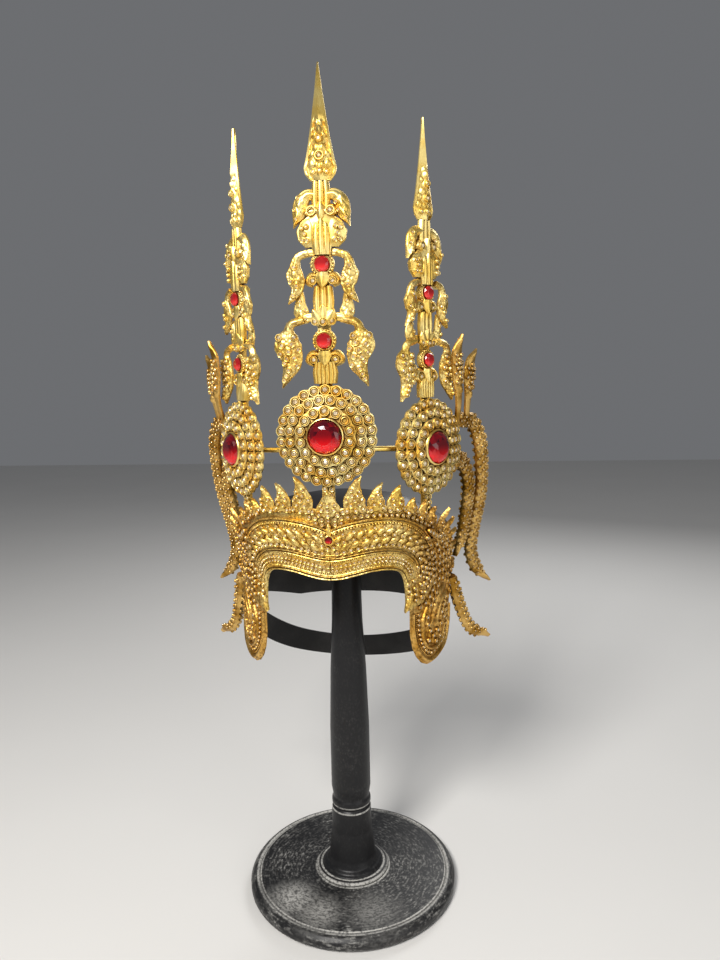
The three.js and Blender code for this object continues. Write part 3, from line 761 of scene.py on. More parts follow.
class Tray:
    """Cups, stones and beads of one sub-assembly, gathered before they are set."""

    FINE = 3.2

    def __init__(self) -> None:
        """Start with empty heaps."""
        self.cups, self.stones, self.beads = Lump(), Lump(), Lump()

    def set_stones(self, seats: Array, bare: Sequence[int] = ()) -> None:
        """Add cups with stones, the larger ones with finer shapes.

        Args:
            seats: where they stand.
            bare: places of cups that have lost their stone.
        """
        large = np.linalg.norm(seats[:, 0], axis=1) > self.FINE
        held = ~np.isin(np.arange(len(seats)), bare)
        for pick, cup, gem in (
            (large, Setting.CUP, Setting.GEM),
            (~large, Setting.FINE_CUP, Setting.FINE_GEM),
        ):
            if pick.any():
                self.cups.copies(cup, seats[pick])
                self.stones.copies(gem, seats[pick & held])

    def place(self, name: str, gold: Any, paints: Paints, rule: Rule = as_is) -> None:
        """Make the pieces of this tray.

        Args:
            name: first part of their names.
            gold: finish of the cups and beads.
            paints: the finishes.
            rule: puts the points in their place.
        """
        for lump, ending, finish, slot, crease in (
            (self.cups, "cups", gold, Slot.GILT, 60.0),
            (self.beads, "beads", gold, Slot.GILT, 60.0),
            (self.stones, "stones", paints.clear, None, None),
        ):
            if lump.count:
                settle(lump.mesh(f"{name}_{ending}", finish, crease, rule))


@dataclass
class Dome:
    """A small raised scale on a blade: place along and across it, half sizes and height."""

    along: float
    across: float
    half_along: float
    half_across: float
    high: float


@dataclass
class Blade:
    """Leaf, wing or stalk: a crowned blade along a curve, with relief on its face.

    Its half widths are even steps along it, and the right ones are like the left where none are given.
    """

    knots: Sequence[Sequence[float]]
    left: Sequence[float]
    edge: float
    ridge: float
    face: Rule
    rows: int = 40
    cols: int = 21
    full: float = 1.7
    rim: float = 0.0
    rim_wide: float = 1.0
    right: Sequence[float] | None = None
    domes: list[Dome] = field(default_factory=list)

    def __post_init__(self) -> None:
        """Work out the curve's frame."""
        t = np.linspace(0, 1, 161)
        self.centre = bent(self.knots, t)
        self.along_dir = unit(np.gradient(self.centre, axis=0))
        face = self.face(self.centre)
        self.face_dir = unit(face - self.along_dir * (face * self.along_dir).sum(1, keepdims=True))
        self.side_dir = unit(np.cross(self.along_dir, self.face_dir))
        self.s = run_lengths(self.centre)
        right = self.left if self.right is None else self.right
        self.l, self.r = rounded(self.left, t), rounded(right, t)

    def at(self, table: Array, s: Array | float) -> Array:
        """Read a table along the curve.

        Args:
            table: values or points along the curve.
            s: lengths.

        Returns:
            One for each length.
        """
        if table.ndim == 1:
            return np.interp(s, self.s, table)
        return np.stack([np.interp(s, self.s, column) for column in table.T], -1)

    def spot(self, s: Array, x: Array, relief: bool = True) -> Array:
        """Points of the crowned face.

        Args:
            s: lengths along the blade.
            x: distances across it, to the right.
            relief: whether rims and scales count.

        Returns:
            Points of shape s.shape + (3,).
        """
        shape = s.shape
        s, x = s.ravel(), x.ravel()
        l, r = self.at(self.l, s), self.at(self.r, s)
        half = np.where(x < 0, l, r)
        q = np.clip(np.abs(x) / np.maximum(half, 1e-3), 0, 1)
        slim = np.minimum(1, 0.35 + np.minimum(l, r) / 3)
        deep = slim * (self.edge + (self.ridge - self.edge) * (1 - q**self.full))
        if relief:
            deep = deep + self._relief(s, x, half * (1 - q)) * np.minimum(1, half / 2.5)
        points = self.at(self.centre, s) + self.at(self.side_dir, s) * x[:, None]
        return (points + self.at(self.face_dir, s) * deep[:, None]).reshape(shape + (3,))

    def _relief(self, s: Array, x: Array, inside: Array) -> Array:
        """Height of rim and scales over the crowned face.

        Args:
            s: lengths along the blade.
            x: distances across it.
            inside: distances inside its edge.

        Returns:
            A height for each place.
        """
        high = self.rim * np.exp(-(((inside - 0.6 * self.rim_wide) / self.rim_wide) ** 2))
        for dome in self.domes:
            far = ((s - dome.along) / dome.half_along) ** 2 + ((x - dome.across) / dome.half_across) ** 2
            high = np.maximum(high, dome.high * np.sqrt(np.maximum(1 - far, 0)))
        return high

    def seats(self, s: Array, x: Array, size: Array | float) -> Array:
        """Seats for stones on the face.

        Args:
            s: lengths along the blade.
            x: distances across it.
            size: size of each, or one size.

        Returns:
            Seat matrices.
        """
        s, x = np.asarray(s, float), np.asarray(x, float)
        along = self.spot(s + 0.4, x, relief=False) - self.spot(s - 0.4, x, relief=False)
        across = self.spot(s, x + 0.4, relief=False) - self.spot(s, x - 0.4, relief=False)
        normal = unit(np.cross(across, along))
        face = self.at(self.face_dir, s)
        normal = normal * np.sign((normal * face).sum(1, keepdims=True))
        return seats_at(self.spot(s, x), normal + 0.6 * face, along, size)

    def scales(
        self, span: Pair, pitch: Pair, inset: float, high: float
    ) -> Array:
        """Lay staggered rows of scales over the face.

        Args:
            span: first and last share of the length.
            pitch: distance between neighbours at both ends.
            inset: bare border.
            high: height of a scale.

        Returns:
            Length along, distance across and pitch of each scale, as rows.
        """
        first, last = (share * self.s[-1] for share in span)
        found: list[tuple[float, float, float]] = []
        place, row = first, 0
        while place <= last:
            step = float(np.interp(place, [first, last], pitch))
            low, top = inset - float(self.at(self.l, place)), float(self.at(self.r, place)) - inset
            most = max(1, int((top - low) / step) + 1)
            gap = (top - low) / (most - 1) if most > 1 else 0.0
            count = most - row % 2 if most > 1 else 1
            for j in range(count if top > low else 0):
                x = (low + top) / 2 + (j - (count - 1) / 2) * gap
                found.append((place, x, step))
                self.domes.append(Dome(place, x, step * 0.6, step * 0.56, high))
            place, row = place + step * 0.88, row + 1
        return np.array(found).reshape(-1, 3)

    def add_to(self, lump: Lump) -> None:
        """Add the blade's closed skin to a lump.

        Args:
            lump: what it is added to.
        """
        s = np.linspace(0, self.s[-1], self.rows)
        even = np.linspace(-1, 1, self.cols)
        share = np.sin(even * math.pi / 2) * 0.35 + even * 0.65
        l, r = self.at(self.l, s)[:, None], self.at(self.r, s)[:, None]
        front = self.spot(np.repeat(s[:, None], self.cols, 1), np.where(share < 0, l * share, r * share))
        centre, side = self.at(self.centre, s), self.at(self.side_dir, s)
        lump.skin(np.concatenate([front, np.stack([centre + side * r, centre - side * l], 1)], 1))


def tube(path: Array, radius: Array | float, sides: int, lump: Lump) -> None:
    """Add a round bar along a path.

    Args:
        path: points of shape (n, 3).
        radius: its radius, or one for each point.
        sides: number of sides.
        lump: what it is added to.
    """
    along = unit(np.gradient(path, axis=0))
    guide = np.eye(3)[2 if abs(along[len(along) // 2, 2]) < 0.8 else 1]
    x = unit(np.cross(along, guide))
    y = np.cross(x, along)
    angle = (np.arange(sides) * 2 * math.pi / sides)[None, :, None]
    size = np.broadcast_to(np.asarray(radius, float), (len(path),))[:, None, None]
    lump.skin(path[:, None] + (x[:, None] * np.cos(angle) + y[:, None] * np.sin(angle)) * size)


@dataclass(frozen=True)
class Cover:
    """Rows of scales over a blade, and the stones that they hold.

    Span is the first and last share of the length, pitch the distance between scales at both ends, inset a
    bare border and high a scale's height. A cup's radius is fill times the pitch, one scale in so many,
    every, holds a stone, and grain is the pitch of fine scales between them, or 0.
    """

    GRAIN_INSET = 1.2
    GRAIN_HIGH = 0.5

    span: Pair
    pitch: Pair
    inset: float
    high: float
    fill: float = 0.5
    every: int = 1
    grain: float = 0.0


@dataclass
class Casting:
    """Cast body of a sub-assembly with its tray of stones."""

    body: Lump = field(default_factory=Lump)
    tray: Tray = field(default_factory=Tray)

    def jewel(self, blade: Blade, cover: Cover) -> None:
        """Add a blade covered with scales that hold stones.

        Args:
            blade: the blade.
            cover: its scales and stones.
        """
        table = blade.scales(cover.span, cover.pitch, cover.inset, cover.high)[:: cover.every]
        if cover.grain:
            blade.scales(cover.span, (cover.grain, cover.grain), cover.GRAIN_INSET, cover.GRAIN_HIGH)
        blade.add_to(self.body)
        self.tray.set_stones(blade.seats(table[:, 0], table[:, 1], table[:, 2] * cover.fill))

    def place(self, name: str, gold: Any, paints: Paints, rule: Rule = as_is, trim: bool = False) -> None:
        """Make the body and its stones.

        Args:
            name: first part of their names.
            gold: finish of the body, cups and beads.
            paints: the finishes.
            rule: puts the points in their place.
            trim: whether it is added to the solids; otherwise it replaces the node of its name.
        """
        settle(self.body.mesh(f"{name}_cast", gold, 45.0, rule), [] if trim else [name])
        self.tray.place(name, gold, paints, rule)


# Plan of the crown


SPIRE_BACK = 99.3
SPIRE_PLATE = 3.0
GAP = 0.3
ROSETTE_TOP = 43.8
CENTRE_Z = 485.0


class Plan:
    """Wall of the crown: radius against angle from the brow and height."""

    DEG = (0, 50, 68, 88, 104, 135, 180)
    RADIUS = (98, 98, 101, 105, 105, 102, 100)
    FLARE_FROM = 357.0
    FLARE = 0.17

    @classmethod
    def wall(cls, deg: Any, z: Any) -> Array:
        """Inner radius at angles and heights."""
        plan = np.interp(np.abs(deg), cls.DEG, cls.RADIUS)
        return plan + cls.FLARE * np.maximum(0, np.asarray(z, float) - cls.FLARE_FROM)

    @staticmethod
    def polar(deg: Any, r: Any, z: Any) -> Array:
        """Points at angles, radii and heights."""
        a = np.radians(deg)
        return np.stack(np.broadcast_arrays(r * np.sin(a), -r * np.cos(a), np.asarray(z, float)), -1)

    @classmethod
    def on_wall(cls, deg: Any, z: Any, lift: Any = 0.0) -> Array:
        """Points at angles and heights, lifted from the wall."""
        return cls.polar(deg, cls.wall(deg, z) + lift, z)

    @staticmethod
    def outward(points: Array) -> Array:
        """Level directions away from the axis."""
        return unit(points * np.array([1.0, 1.0, 0.0]))


@dataclass(frozen=True)
class Place:
    """Where a rosette and its spire stand."""

    label: str
    deg: float
    facing: float
    z: float
    scale: float

    @property
    def out(self) -> Array:
        """Direction that the rosette faces."""
        return Plan.polar(self.facing, 1.0, 0.0)

    def facing_of(self, points: Array) -> Array:
        """The same direction at every point."""
        return np.broadcast_to(self.out, points.shape)

    def world(self, points: Array) -> Array:
        """Put points given from the rosette's axis in their place.

        Args:
            points: points across, outwards and up.

        Returns:
            The points in the object's frame.
        """
        across = Plan.polar(self.facing + 90, 1.0, 0.0)
        foot = Plan.polar(self.deg, SPIRE_BACK, self.z)
        return foot + points @ np.stack([across, self.out, np.array([0, 0, 1.0])])

    def spire(self, points: Array) -> Array:
        """The same for points of the spire, which is smaller at the sides.

        Args:
            points: points across, outwards and up.

        Returns:
            The points in the object's frame.
        """
        h = points[..., 2]
        high = np.where(h < ROSETTE_TOP, h, ROSETTE_TOP + (h - ROSETTE_TOP) * self.scale)
        return self.world(np.stack([points[..., 0] * self.scale, points[..., 1], high], -1))


CENTRE = Place("centre", 0, 0, CENTRE_Z, 1.0)
RIGHT = Place("right", 55, 50, 471, 0.93)
LEFT = Place("left", -55, -50, 471, 0.93)


def forward(points: Array) -> Array:
    """Outward direction in a spire's own axes."""
    return np.broadcast_to(np.array([0.0, 1.0, 0.0]), points.shape)


def flat_seats(spots: Sequence[Row], size: Any) -> Array:
    """Seats that face straight out, at places across, outwards and up."""
    points = np.array(spots, float).reshape(-1, 3)
    return seats_at(points, forward(points), np.broadcast_to(np.eye(3)[0], points.shape), size)


def ring_seats(r: float, count: int, d: float, size: float, h: float = 0.0) -> Array:
    """Seats in a ring that faces outwards.

    Args:
        r: radius of the ring.
        count: number of seats.
        d: distance outwards.
        size: size of each.
        h: height of its middle.

    Returns:
        Seat matrices.
    """
    a = (np.arange(count) + 0.5) * 2 * math.pi / count
    radial = np.stack([np.cos(a), np.zeros(count), np.sin(a)], -1)
    return seats_at(radial * r + np.array([0, d, h]), radial * 0.12 + np.eye(3)[1], radial, size)


def turned_out(shape: Shape, d: float, h: float) -> Shape:
    """A shape about Z, laid so that its axis points outwards at a depth and a height."""
    points, faces = shape
    return np.stack([points[:, 0], points[:, 2] + d, points[:, 1] + h], -1), faces


# Sub-assemblies


@dataclass
class SubAssembly:
    """Part of the object that is made with its finishes."""

    paints: Paints


@dataclass
class Rosette(SubAssembly):
    """Three tiers of cup-set stones round one large red stone.

    A tier has its name, radius, number of cups and thickness. The steps are insets and shares of the
    thickness, the collar's steps radii over the stone's and depths. Bare cups have lost their stone.
    """

    tiers: tuple[tuple[str, float, int, float], ...] = (
        ("tier_back", 43.5, 26, 3.6),
        ("tier_middle", 35.4, 20, 3.4),
        ("tier_front", 26.2, 14, 3.2),
    )
    scallop: float = 0.04
    steps: Rows = ((6.5, 0.0), (6.5, 0.42), (0.0, 0.5), (0.0, 0.86), (0.7, 1.0))
    cup: float = 4.75
    cup_lift: float = 0.5
    gem_r: float = 14.3
    gem_sides: int = 12
    collar: Rows = ((2.2, -0.2), (2.0, 1.8), (1.3, 3.0), (0.6, 3.2), (0.1, 2.6))
    gem_tiers: Rows = ((12.6, 0.0, 0), (14.3, 2.6, 0), (12.4, 5.2, 0.5), (9.6, 7.1, 1.0), (6.8, 8.0, 1.5))
    bare: tuple[tuple[str, str, int], ...] = (("centre", "tier_front", 1),)

    def tier(self, r: float, count: int, back: float, thick: float) -> Lump:
        """Scalloped disc on a narrower neck, which leaves a dark gap behind its rim.

        Args:
            r: its radius.
            count: number of scallops.
            back: depth of its back.
            thick: its thickness.

        Returns:
            The disc.
        """
        turn = np.arange(count * 10) / (count * 10)
        edge = r * (1 - self.scallop * (1 - np.abs(np.sin(turn * count * math.pi))))
        rings = []
        for inset, share in self.steps:
            x, h = (edge - inset) * np.cos(turn * 2 * math.pi), (edge - inset) * np.sin(turn * 2 * math.pi)
            rings.append(np.stack([x, np.full_like(x, back + share * thick), h], -1))
        return Lump().skin(np.stack(rings))

    def build(self, place: Place) -> None:
        """Make one rosette.

        Args:
            place: where it stands.
        """
        tray, name = Tray(), place.label
        depth = SPIRE_PLATE + GAP
        for tier, r, count, thick in self.tiers:
            disc = self.tier(r, count, depth, thick)
            cast = disc.mesh(f"{name}_{tier}_cast", self.paints.pale, 35.0, place.world)
            settle(cast, [f"{name}_{tier}"])
            lost = [index for label, where, index in self.bare if (label, where) == (name, tier)]
            tray.set_stones(ring_seats(r - self.cup, count, depth + thick + self.cup_lift, self.cup), lost)
            depth += thick + GAP
        tray.place(f"{name}_rosette", self.paints.pale, self.paints, place.world)
        profile = [(self.gem_r + wide, deep) for wide, deep in self.collar]
        collar = Lump().add(*turned_out(lathe(profile, 64), depth, 0))
        settle(collar.mesh(f"{name}_gem_collar", self.paints.plain, 50.0, place.world))
        gem = Lump().add(*turned_out(cut_stone(self.gem_sides, self.gem_tiers), depth, 0))
        settle(gem.mesh(f"{name}_gem_cut", self.paints.red, None, place.world), [f"{name}_gem"])


@dataclass(frozen=True)
class Wing:
    """Sizes of one pair of wings: spine across and up, half widths, depths and cover of stones."""

    spine: Rows
    outer: Row
    inner: Row
    back: float
    edge: float
    ridge: float
    mesh: tuple[int, int]
    cover: Cover
    rim: float = 0.0

    def add_to(self, casting: Casting, side: Side) -> None:
        """Add the wing of one side.

        Args:
            casting: takes it.
            side: its side.
        """
        left, right = (self.outer, self.inner) if side is Side.RIGHT else (self.inner, self.outer)
        knots = [(side.value * u, self.back, h) for u, h in self.spine]
        blade = Blade(knots, left, self.edge, self.ridge, forward, *self.mesh, rim=self.rim, right=right)
        casting.jewel(blade, self.cover)


def both_sides(rows: Rows) -> list[Row]:
    """Rows that start with a place across, with a twin for each one off the middle."""
    return [(k * row[0], *row[1:]) for row in rows for k in ((-1, 1) if row[0] else (1,))]


@dataclass
class Spire(SubAssembly):
    """Winged spire above a rosette, in its own axes: across, outwards, up.

    Columns have foot, top, half width, depth, ribs and groove; arms height, reach, rise and half width; curls
    height, reach, drop and half width; petals back, width and ridge; the spearhead's stones and leaves, which
    stand on both sides, a place across and up and a size.
    """

    bar_half: float = 5.5
    bar_low: float = -89.5
    bar_high: float = 205.0
    columns: Rows = (
        (44, 62, 10.8, 6.5, 6, 1.0),
        (101, 124, 9, 6, 3, 1.7),
        (182, 207.5, 8, 5.5, 3, 1.7),
    )
    stones: tuple[tuple[str, float, float], ...] = (("stone_low", 79.5, 6.5), ("stone_high", 141.5, 6.6))
    collar_deep: float = 4.4
    collar_top: float = 5.6
    collar_wide: float = 3.4
    collar_beads: int = 20
    stone_sides: int = 10
    arms: Rows = ((97.5, 24, -2, 3.6), (150, 19, -2, 3.2))
    arm_back: float = 0.3
    curls: Rows = ((66, 14.2, 7, 3.2), (130, 12.8, 6, 3.0), (184, 11.5, 4, 3.0))
    eye: float = 3.4
    petals: Rows = ((0.6, 1.0, 6.2), (4.6, 1.2, 3.6))
    single_from: float = 180.0
    knot_h: float = 96.5
    knot_leaves: Rows = ((-9, 9), (9, 9), (0, 14))
    mask_h: float = 183.0
    mask_eye: float = 3.9
    heart_half: Row = (7, 8.2, 8.6, 6.6, 1.4)
    bud_half: Row = (14, 20, 21, 18, 10.5)
    bud_stones: Rows = ((5, 11.6), (5.4, 15.6), (10.5, 13.6), (16, 12), (15, 15.8))
    bud_stone: float = 2.1
    foot_across: float = 2.9
    foot_top: float = -46.0
    foot_pitch: float = 5.4
    foot_rows: int = 4
    foot_stone: float = 2.8
    wing_low: Wing = Wing(
        ((17, 97), (28, 93), (30, 79), (28, 62), (36.5, 41)),
        (3.2, 3.4, 3.4, 3.8, 8, 10.5, 9.5, 8, 4, 0.6),
        (3.2, 3.4, 3.4, 4, 11, 13, 10.5, 8, 4.5, 0.6),
        SPIRE_PLATE + GAP, 1.6, 4.8, (100, 41), Cover((0.34, 0.92), (7.0, 4.8), 2.9, 1.2, 0.46, 1, 3.0),
    )
    wing_mid: Wing = Wing(
        ((12, 151), (20.5, 147), (22.5, 134), (21.5, 122), (29.5, 110)),
        (2.8, 3, 3, 3.8, 6.4, 7, 5, 3, 0.6),
        (2.8, 3, 3.2, 4.6, 8, 7, 5, 3, 0.6),
        SPIRE_PLATE + GAP, 1.6, 4.2, (84, 35), Cover((0.36, 0.88), (6.0, 4.2), 2.7, 1.0, 0.46, 2, 2.8), 0.9,
    )
    wing_top: Wing = Wing(
        ((5, 197), (11.5, 196.8), (17, 190.5), (19, 182), (23.5, 171.5)),
        (4, 5, 6.5, 6, 0.5),
        (4, 5, 6, 5.5, 0.5),
        0.4, 0.8, 5.0, (64, 33), Cover((0.36, 0.9), (4.8, 3.8), 2.4, 0.9, 0.44, 3, 2.6), 0.9,
    )
    side_leaf: Wing = Wing(
        ((17, 94), (20, 108.2), (18.2, 123)),
        (4.2, 6.4, 4, 0.6),
        (4.2, 6.4, 4, 0.6),
        0.0, 0.5, 2.9, (50, 27), Cover((0.1, 0.84), (4.6, 3.8), 2.3, 0.8, 0.46, 3, 2.6), 0.8,
    )
    spear: Rows = (
        (207.8, 8.6), (213, 12.6), (218, 13.6), (226, 11.6), (237, 9.4), (254, 6.5), (278, 3), (298.5, 0.5),
    )
    spear_edge: float = 1.8
    spear_deep: float = 7.0
    bevel: float = 2.0
    carved: float = 1.6
    plain_from: float = 257.0
    spear_stones: Rows = ((5.6, 214.4, 2.2), (0, 214.8, 2.4), (0, 226.4, 3.7), (0, 239.4, 3.2))
    spear_leaves: Rows = (
        (7.2, 221.2, 2.8), (2.7, 219.6, 2.0), (6.6, 228.4, 2.3), (3.6, 233.0, 2.6), (4.3, 243.0, 1.9),
        (0, 247.4, 2.6), (2.0, 252.0, 1.5),
    )

    def column(self, low: float, high: float, half: float, deep: float, ribs: int, groove: float) -> Array:
        """Sections of a ribbed column.

        Args:
            low: foot.
            high: top.
            half: half width.
            deep: reach outwards.
            ribs: number of ribs.
            groove: depth between them.

        Returns:
            Rows of points.
        """
        h = np.linspace(low, high, 9)
        wide = half * np.interp(h, [low, (low + high) / 2, high], [0.9, 1.0, 0.85])
        x = np.linspace(-1, 1, 12 * ribs + 1)
        wave = np.abs(np.sin((x + 1) / 2 * math.pi * ribs)) ** 0.6
        reach = SPIRE_PLATE + (deep - SPIRE_PLATE) * (1 - x**8) - groove * (1 - wave) * (1 - x**8)
        front = np.stack(np.broadcast_arrays(wide[:, None] * x, reach[None], h[:, None]), -1)
        back = np.stack([np.stack([wide * k, np.full(len(h), 0.5), h], -1) for k in (1, -1)], 1)
        return np.concatenate([front, back], 1)

    def red_stone(self, h: float, r: float, stem: Casting) -> Lump:
        """Cut a red stone, and add its milled collar to the stem.

        Args:
            h: height of the stone.
            r: its radius.
            stem: takes the collar.

        Returns:
            The stone.
        """
        deep, top, out = self.collar_deep, self.collar_top, r + self.collar_wide
        profile = [(out, 0.4), (out, deep - 1.2), (out - 0.5, deep - 0.3), (r + 1.7, deep), (r + 1.4, top)]
        profile += [(r + 0.7, top + 0.4), (r + 0.1, top + 0.1), (0.1, top)]
        stem.body.add(*turned_out(lathe(profile, 36), 0, h))
        stem.tray.beads.copies(Setting.BEAD, ring_seats(r + 2.5, self.collar_beads, deep, 1.15, h))
        tiers = [(0.86 * r, 0, 0), (r, 1.4, 0), (0.84 * r, 2.9, 0.5), (0.56 * r, 4.0, 1.0)]
        return Lump().add(*turned_out(cut_stone(self.stone_sides, tiers), top + GAP, h))

    def curl(self, h: float, reach: float, drop: float, half: float, stem: Casting) -> None:
        """Add a pair of scrolls with a stone in each eye, and the pointed petal between them.

        Args:
            h: height of their roots.
            reach: how far they stand out.
            drop: how far their ends fall.
            half: half width.
            stem: takes them.
        """
        widths = [half * share for share in (0.8, 1.0, 0.9, 0.4)]
        for k in (1, -1):
            knots = [(2, h + 1), (0.74 * reach, h + 3), (reach, h - 0.35 * drop), (0.68 * reach, h - drop)]
            path = [(k * u, 0.6, z) for u, z in knots]
            Blade(path, widths, 0.4, 5.4, forward, 26, 11, rim=0.4, rim_wide=0.8).add_to(stem.body)
        eyes = [(k * reach * 0.64, 4.8, h - 0.3 * drop) for k in (1, -1)]
        stem.tray.set_stones(flat_seats(eyes, self.eye))
        for back, wide, ridge in self.petals[: 2 if h < self.single_from else 1]:
            petal = [(0, back, h + 5), (0, back, h), (0, back, h - 9)]
            widths = [share * wide for share in (4, 5.4, 4, 0.5)]
            Blade(petal, widths, 0.5, ridge, forward, 26, 15, rim=0.6, rim_wide=0.8).add_to(stem.body)

    def mask(self, bare: Sequence[int], stem: Casting) -> None:
        """Add the level knot over the bud, with an eye at each side.

        Args:
            bare: eyes that have lost their stone.
            stem: takes it.
        """
        h, widths = self.mask_h, (2.0, 4.4, 5.0, 4.6, 5.0, 4.4, 2.0)
        line = ((-12.5, -1), (-6.4, 0.6), (0, 0), (6.4, 0.6), (12.5, -1))
        knots = [(u, 1.4, h + rise) for u, rise in line]
        Blade(knots, widths, 0.8, 5.4, forward, 60, 19, rim=0.6, rim_wide=0.9).add_to(stem.body)
        nose = [(0, 2.4, h + 7), (0, 3.2, h), (0, 2.4, h - 8)]
        widths = (3.0, 4.2, 5.2, 5.0, 1.2)
        Blade(nose, widths, 0.8, 5.8, forward, 34, 21, rim=0.5, rim_wide=0.8).add_to(stem.body)
        eyes = [(k * 7.9, 6.6, h + 0.6) for k in (-1, 1)]
        stem.tray.set_stones(flat_seats(eyes, self.mask_eye), bare)

    def bud(self, stem: Casting) -> None:
        """Add the lotus bud: a ribbed heart between two leaves with stones.

        Args:
            stem: takes it.
        """
        spine = [(0, 1.2, 148.8), (0, 1.2, 163), (0, 1.2, 179)]
        heart = Blade(spine, self.heart_half, 4.4, 6.6, forward, 40, 41)
        heart.domes += [Dome(14, across, 18, wide, 1.4) for across, wide in ((-5, 2.4), (0, 2.6), (5, 2.4))]
        heart.add_to(stem.body)
        spine = [(0, 0.4, 155.2), (0, 0.4, 168.1), (0, 0.4, 181)]
        blade = Blade(spine, self.bud_half, 2.4, 6.6, forward, 52, 71, rim=0.9, rim_wide=1.3)
        blade.domes += [Dome(11, k * 13.2, 13.5, 6.4, 1.4) for k in (1, -1)]
        table = np.array([(s, k * x) for s, x in self.bud_stones for k in (1, -1)])
        blade.domes += [Dome(s, x, 2.9, 2.5, 2.3) for s, x in table]
        blade.add_to(stem.body)
        stem.tray.set_stones(blade.seats(table[:, 0], table[:, 1], self.bud_stone))

    def spearhead(self, tray: Tray) -> Lump:
        """Spearhead: smooth bevels round a carved field, and a plain tip.

        Args:
            tray: takes its stones.

        Returns:
            The head.
        """
        table, stones = np.array(self.spear), both_sides(self.spear_stones)

        def reach(x: Array, h: Array) -> Array:
            """Depth of the carved face.

            Args:
                x: places across.
                h: heights.

            Returns:
                A depth for each place.
            """
            half = np.interp(h, table[:, 0], table[:, 1])
            q = np.clip(np.abs(x) / half, 0, 1)
            top = np.maximum(self.spear_edge, self.spear_deep * np.minimum(1, 0.3 + half / 10))
            crown = self.spear_edge + (top - self.spear_edge) * (1 - q)
            inside = half * (1 - q)
            sunk = np.clip((inside - self.bevel) / 0.6, 0, 1) * np.clip((self.plain_from - h) / 5, 0, 1)
            carved = np.zeros_like(crown)
            for across, place, size in stones + both_sides(self.spear_leaves):
                far = ((h - place) / (size * 1.3)) ** 2 + ((x - across) / size) ** 2
                carved = np.maximum(carved, self.carved * np.sqrt(np.maximum(0, 1 - far)))
            return crown + sunk * (carved - self.carved)

        h = np.linspace(table[0, 0], table[-1, 0], 96)[:, None]
        half = np.interp(h, table[:, 0], table[:, 1])
        x = half * np.linspace(-1, 1, 37)
        front = np.stack([x, reach(x, h + 0 * x), h + 0 * x], -1)
        dip = -1.2 * np.minimum(1, 0.3 + half / 10)
        back = [np.concatenate([half * k, d + 0 * h, h], 1) for k, d in ((1, 0.8), (0, dip), (-1, 0.8))]
        head = Lump().skin(np.concatenate([front, np.stack(back, 1)], 1))
        u, z, size = np.array(stones).T
        tray.set_stones(flat_seats(list(zip(u, reach(u, z) - 0.5, z)), size))
        return head

    def knot(self, stem: Casting) -> None:
        """Add the knot where the lower arms meet: three stones and small flame leaves.

        Args:
            stem: takes it.
        """
        h, widths = self.knot_h, (4.4, 5.6, 3.6, 0.4)
        for tilt, high in self.knot_leaves:
            knots = [(0.2 * tilt, 4.2, h - 3), (0.7 * tilt, 4.2, h + high / 2), (tilt, 4.2, h + high)]
            Blade(knots, widths, 0.5, 2.8, forward, 24, 13, rim=0.6, rim_wide=0.7).add_to(stem.body)
        spots = [(-7.2, 5.4, h - 1.2), (0, 7.2, h - 1.6), (7.2, 5.4, h - 1.2)]
        stem.tray.set_stones(flat_seats(spots, [3.3, 3.7, 3.3]))

    def build(self, place: Place) -> None:
        """Make one spire.

        Args:
            place: where it stands.
        """
        stem, name = Casting(), place.label
        bar = np.array([[-1, 0], [1, 0], [1, 1], [-1, 1]], float) * [self.bar_half, SPIRE_PLATE]
        heights = (self.bar_low + CENTRE_Z - place.z, 0.0, self.bar_high)
        stem.body.skin(np.stack([np.column_stack([bar, np.full(4, h)]) for h in heights]))
        for sizes in self.columns:
            stem.body.skin(self.column(*sizes))
        for node, h, r in self.stones:
            cut = self.red_stone(h, r, stem).mesh(f"{name}_{node}_cut", self.paints.pink, None, place.spire)
            settle(cut, [f"{name}_{node}"])
        for sizes in self.curls:
            self.curl(*sizes, stem)
        for h, reach, rise, half in self.arms:
            for k in (1, -1):
                path = [(0, h - 1), (k * reach / 2, h + 1.5), (k * reach, h + rise)]
                knots = [(u, self.arm_back, z) for u, z in path]
                widths = (half, half, half * 0.6)
                Blade(knots, widths, 1.4, SPIRE_PLATE, forward, 22, 15, rim=0.8).add_to(stem.body)
        self.knot(stem)
        self.bud(stem)
        self.mask([0] if place is CENTRE else [], stem)
        foot = [self.foot_top - self.foot_pitch * i for i in range(self.foot_rows)]
        spots = [(k * self.foot_across, SPIRE_PLATE + 0.4, h) for h in foot for k in (1, -1)]
        stem.tray.set_stones(flat_seats(spots, self.foot_stone))
        for side, ending in ((Side.RIGHT, "r"), (Side.LEFT, "l")):
            self.side_leaf.add_to(stem, side)
            self.wing_top.add_to(stem, side)
            for wing, node in ((self.wing_low, "wing_low"), (self.wing_mid, "wing_mid")):
                loose = Casting(tray=stem.tray)
                wing.add_to(loose, side)
                cast = loose.body.mesh(f"{name}_{node}_{ending}_cast", self.paints.chased, 45.0, place.spire)
                settle(cast, [f"{name}_{node}_{ending}"])
        head = self.spearhead(stem.tray).mesh(f"{name}_spearhead_cast", self.paints.leaf, 40.0, place.spire)
        settle(head, [f"{name}_spearhead"])
        stem.place(f"{name}_stem", self.paints.leaf, self.paints, place.spire)


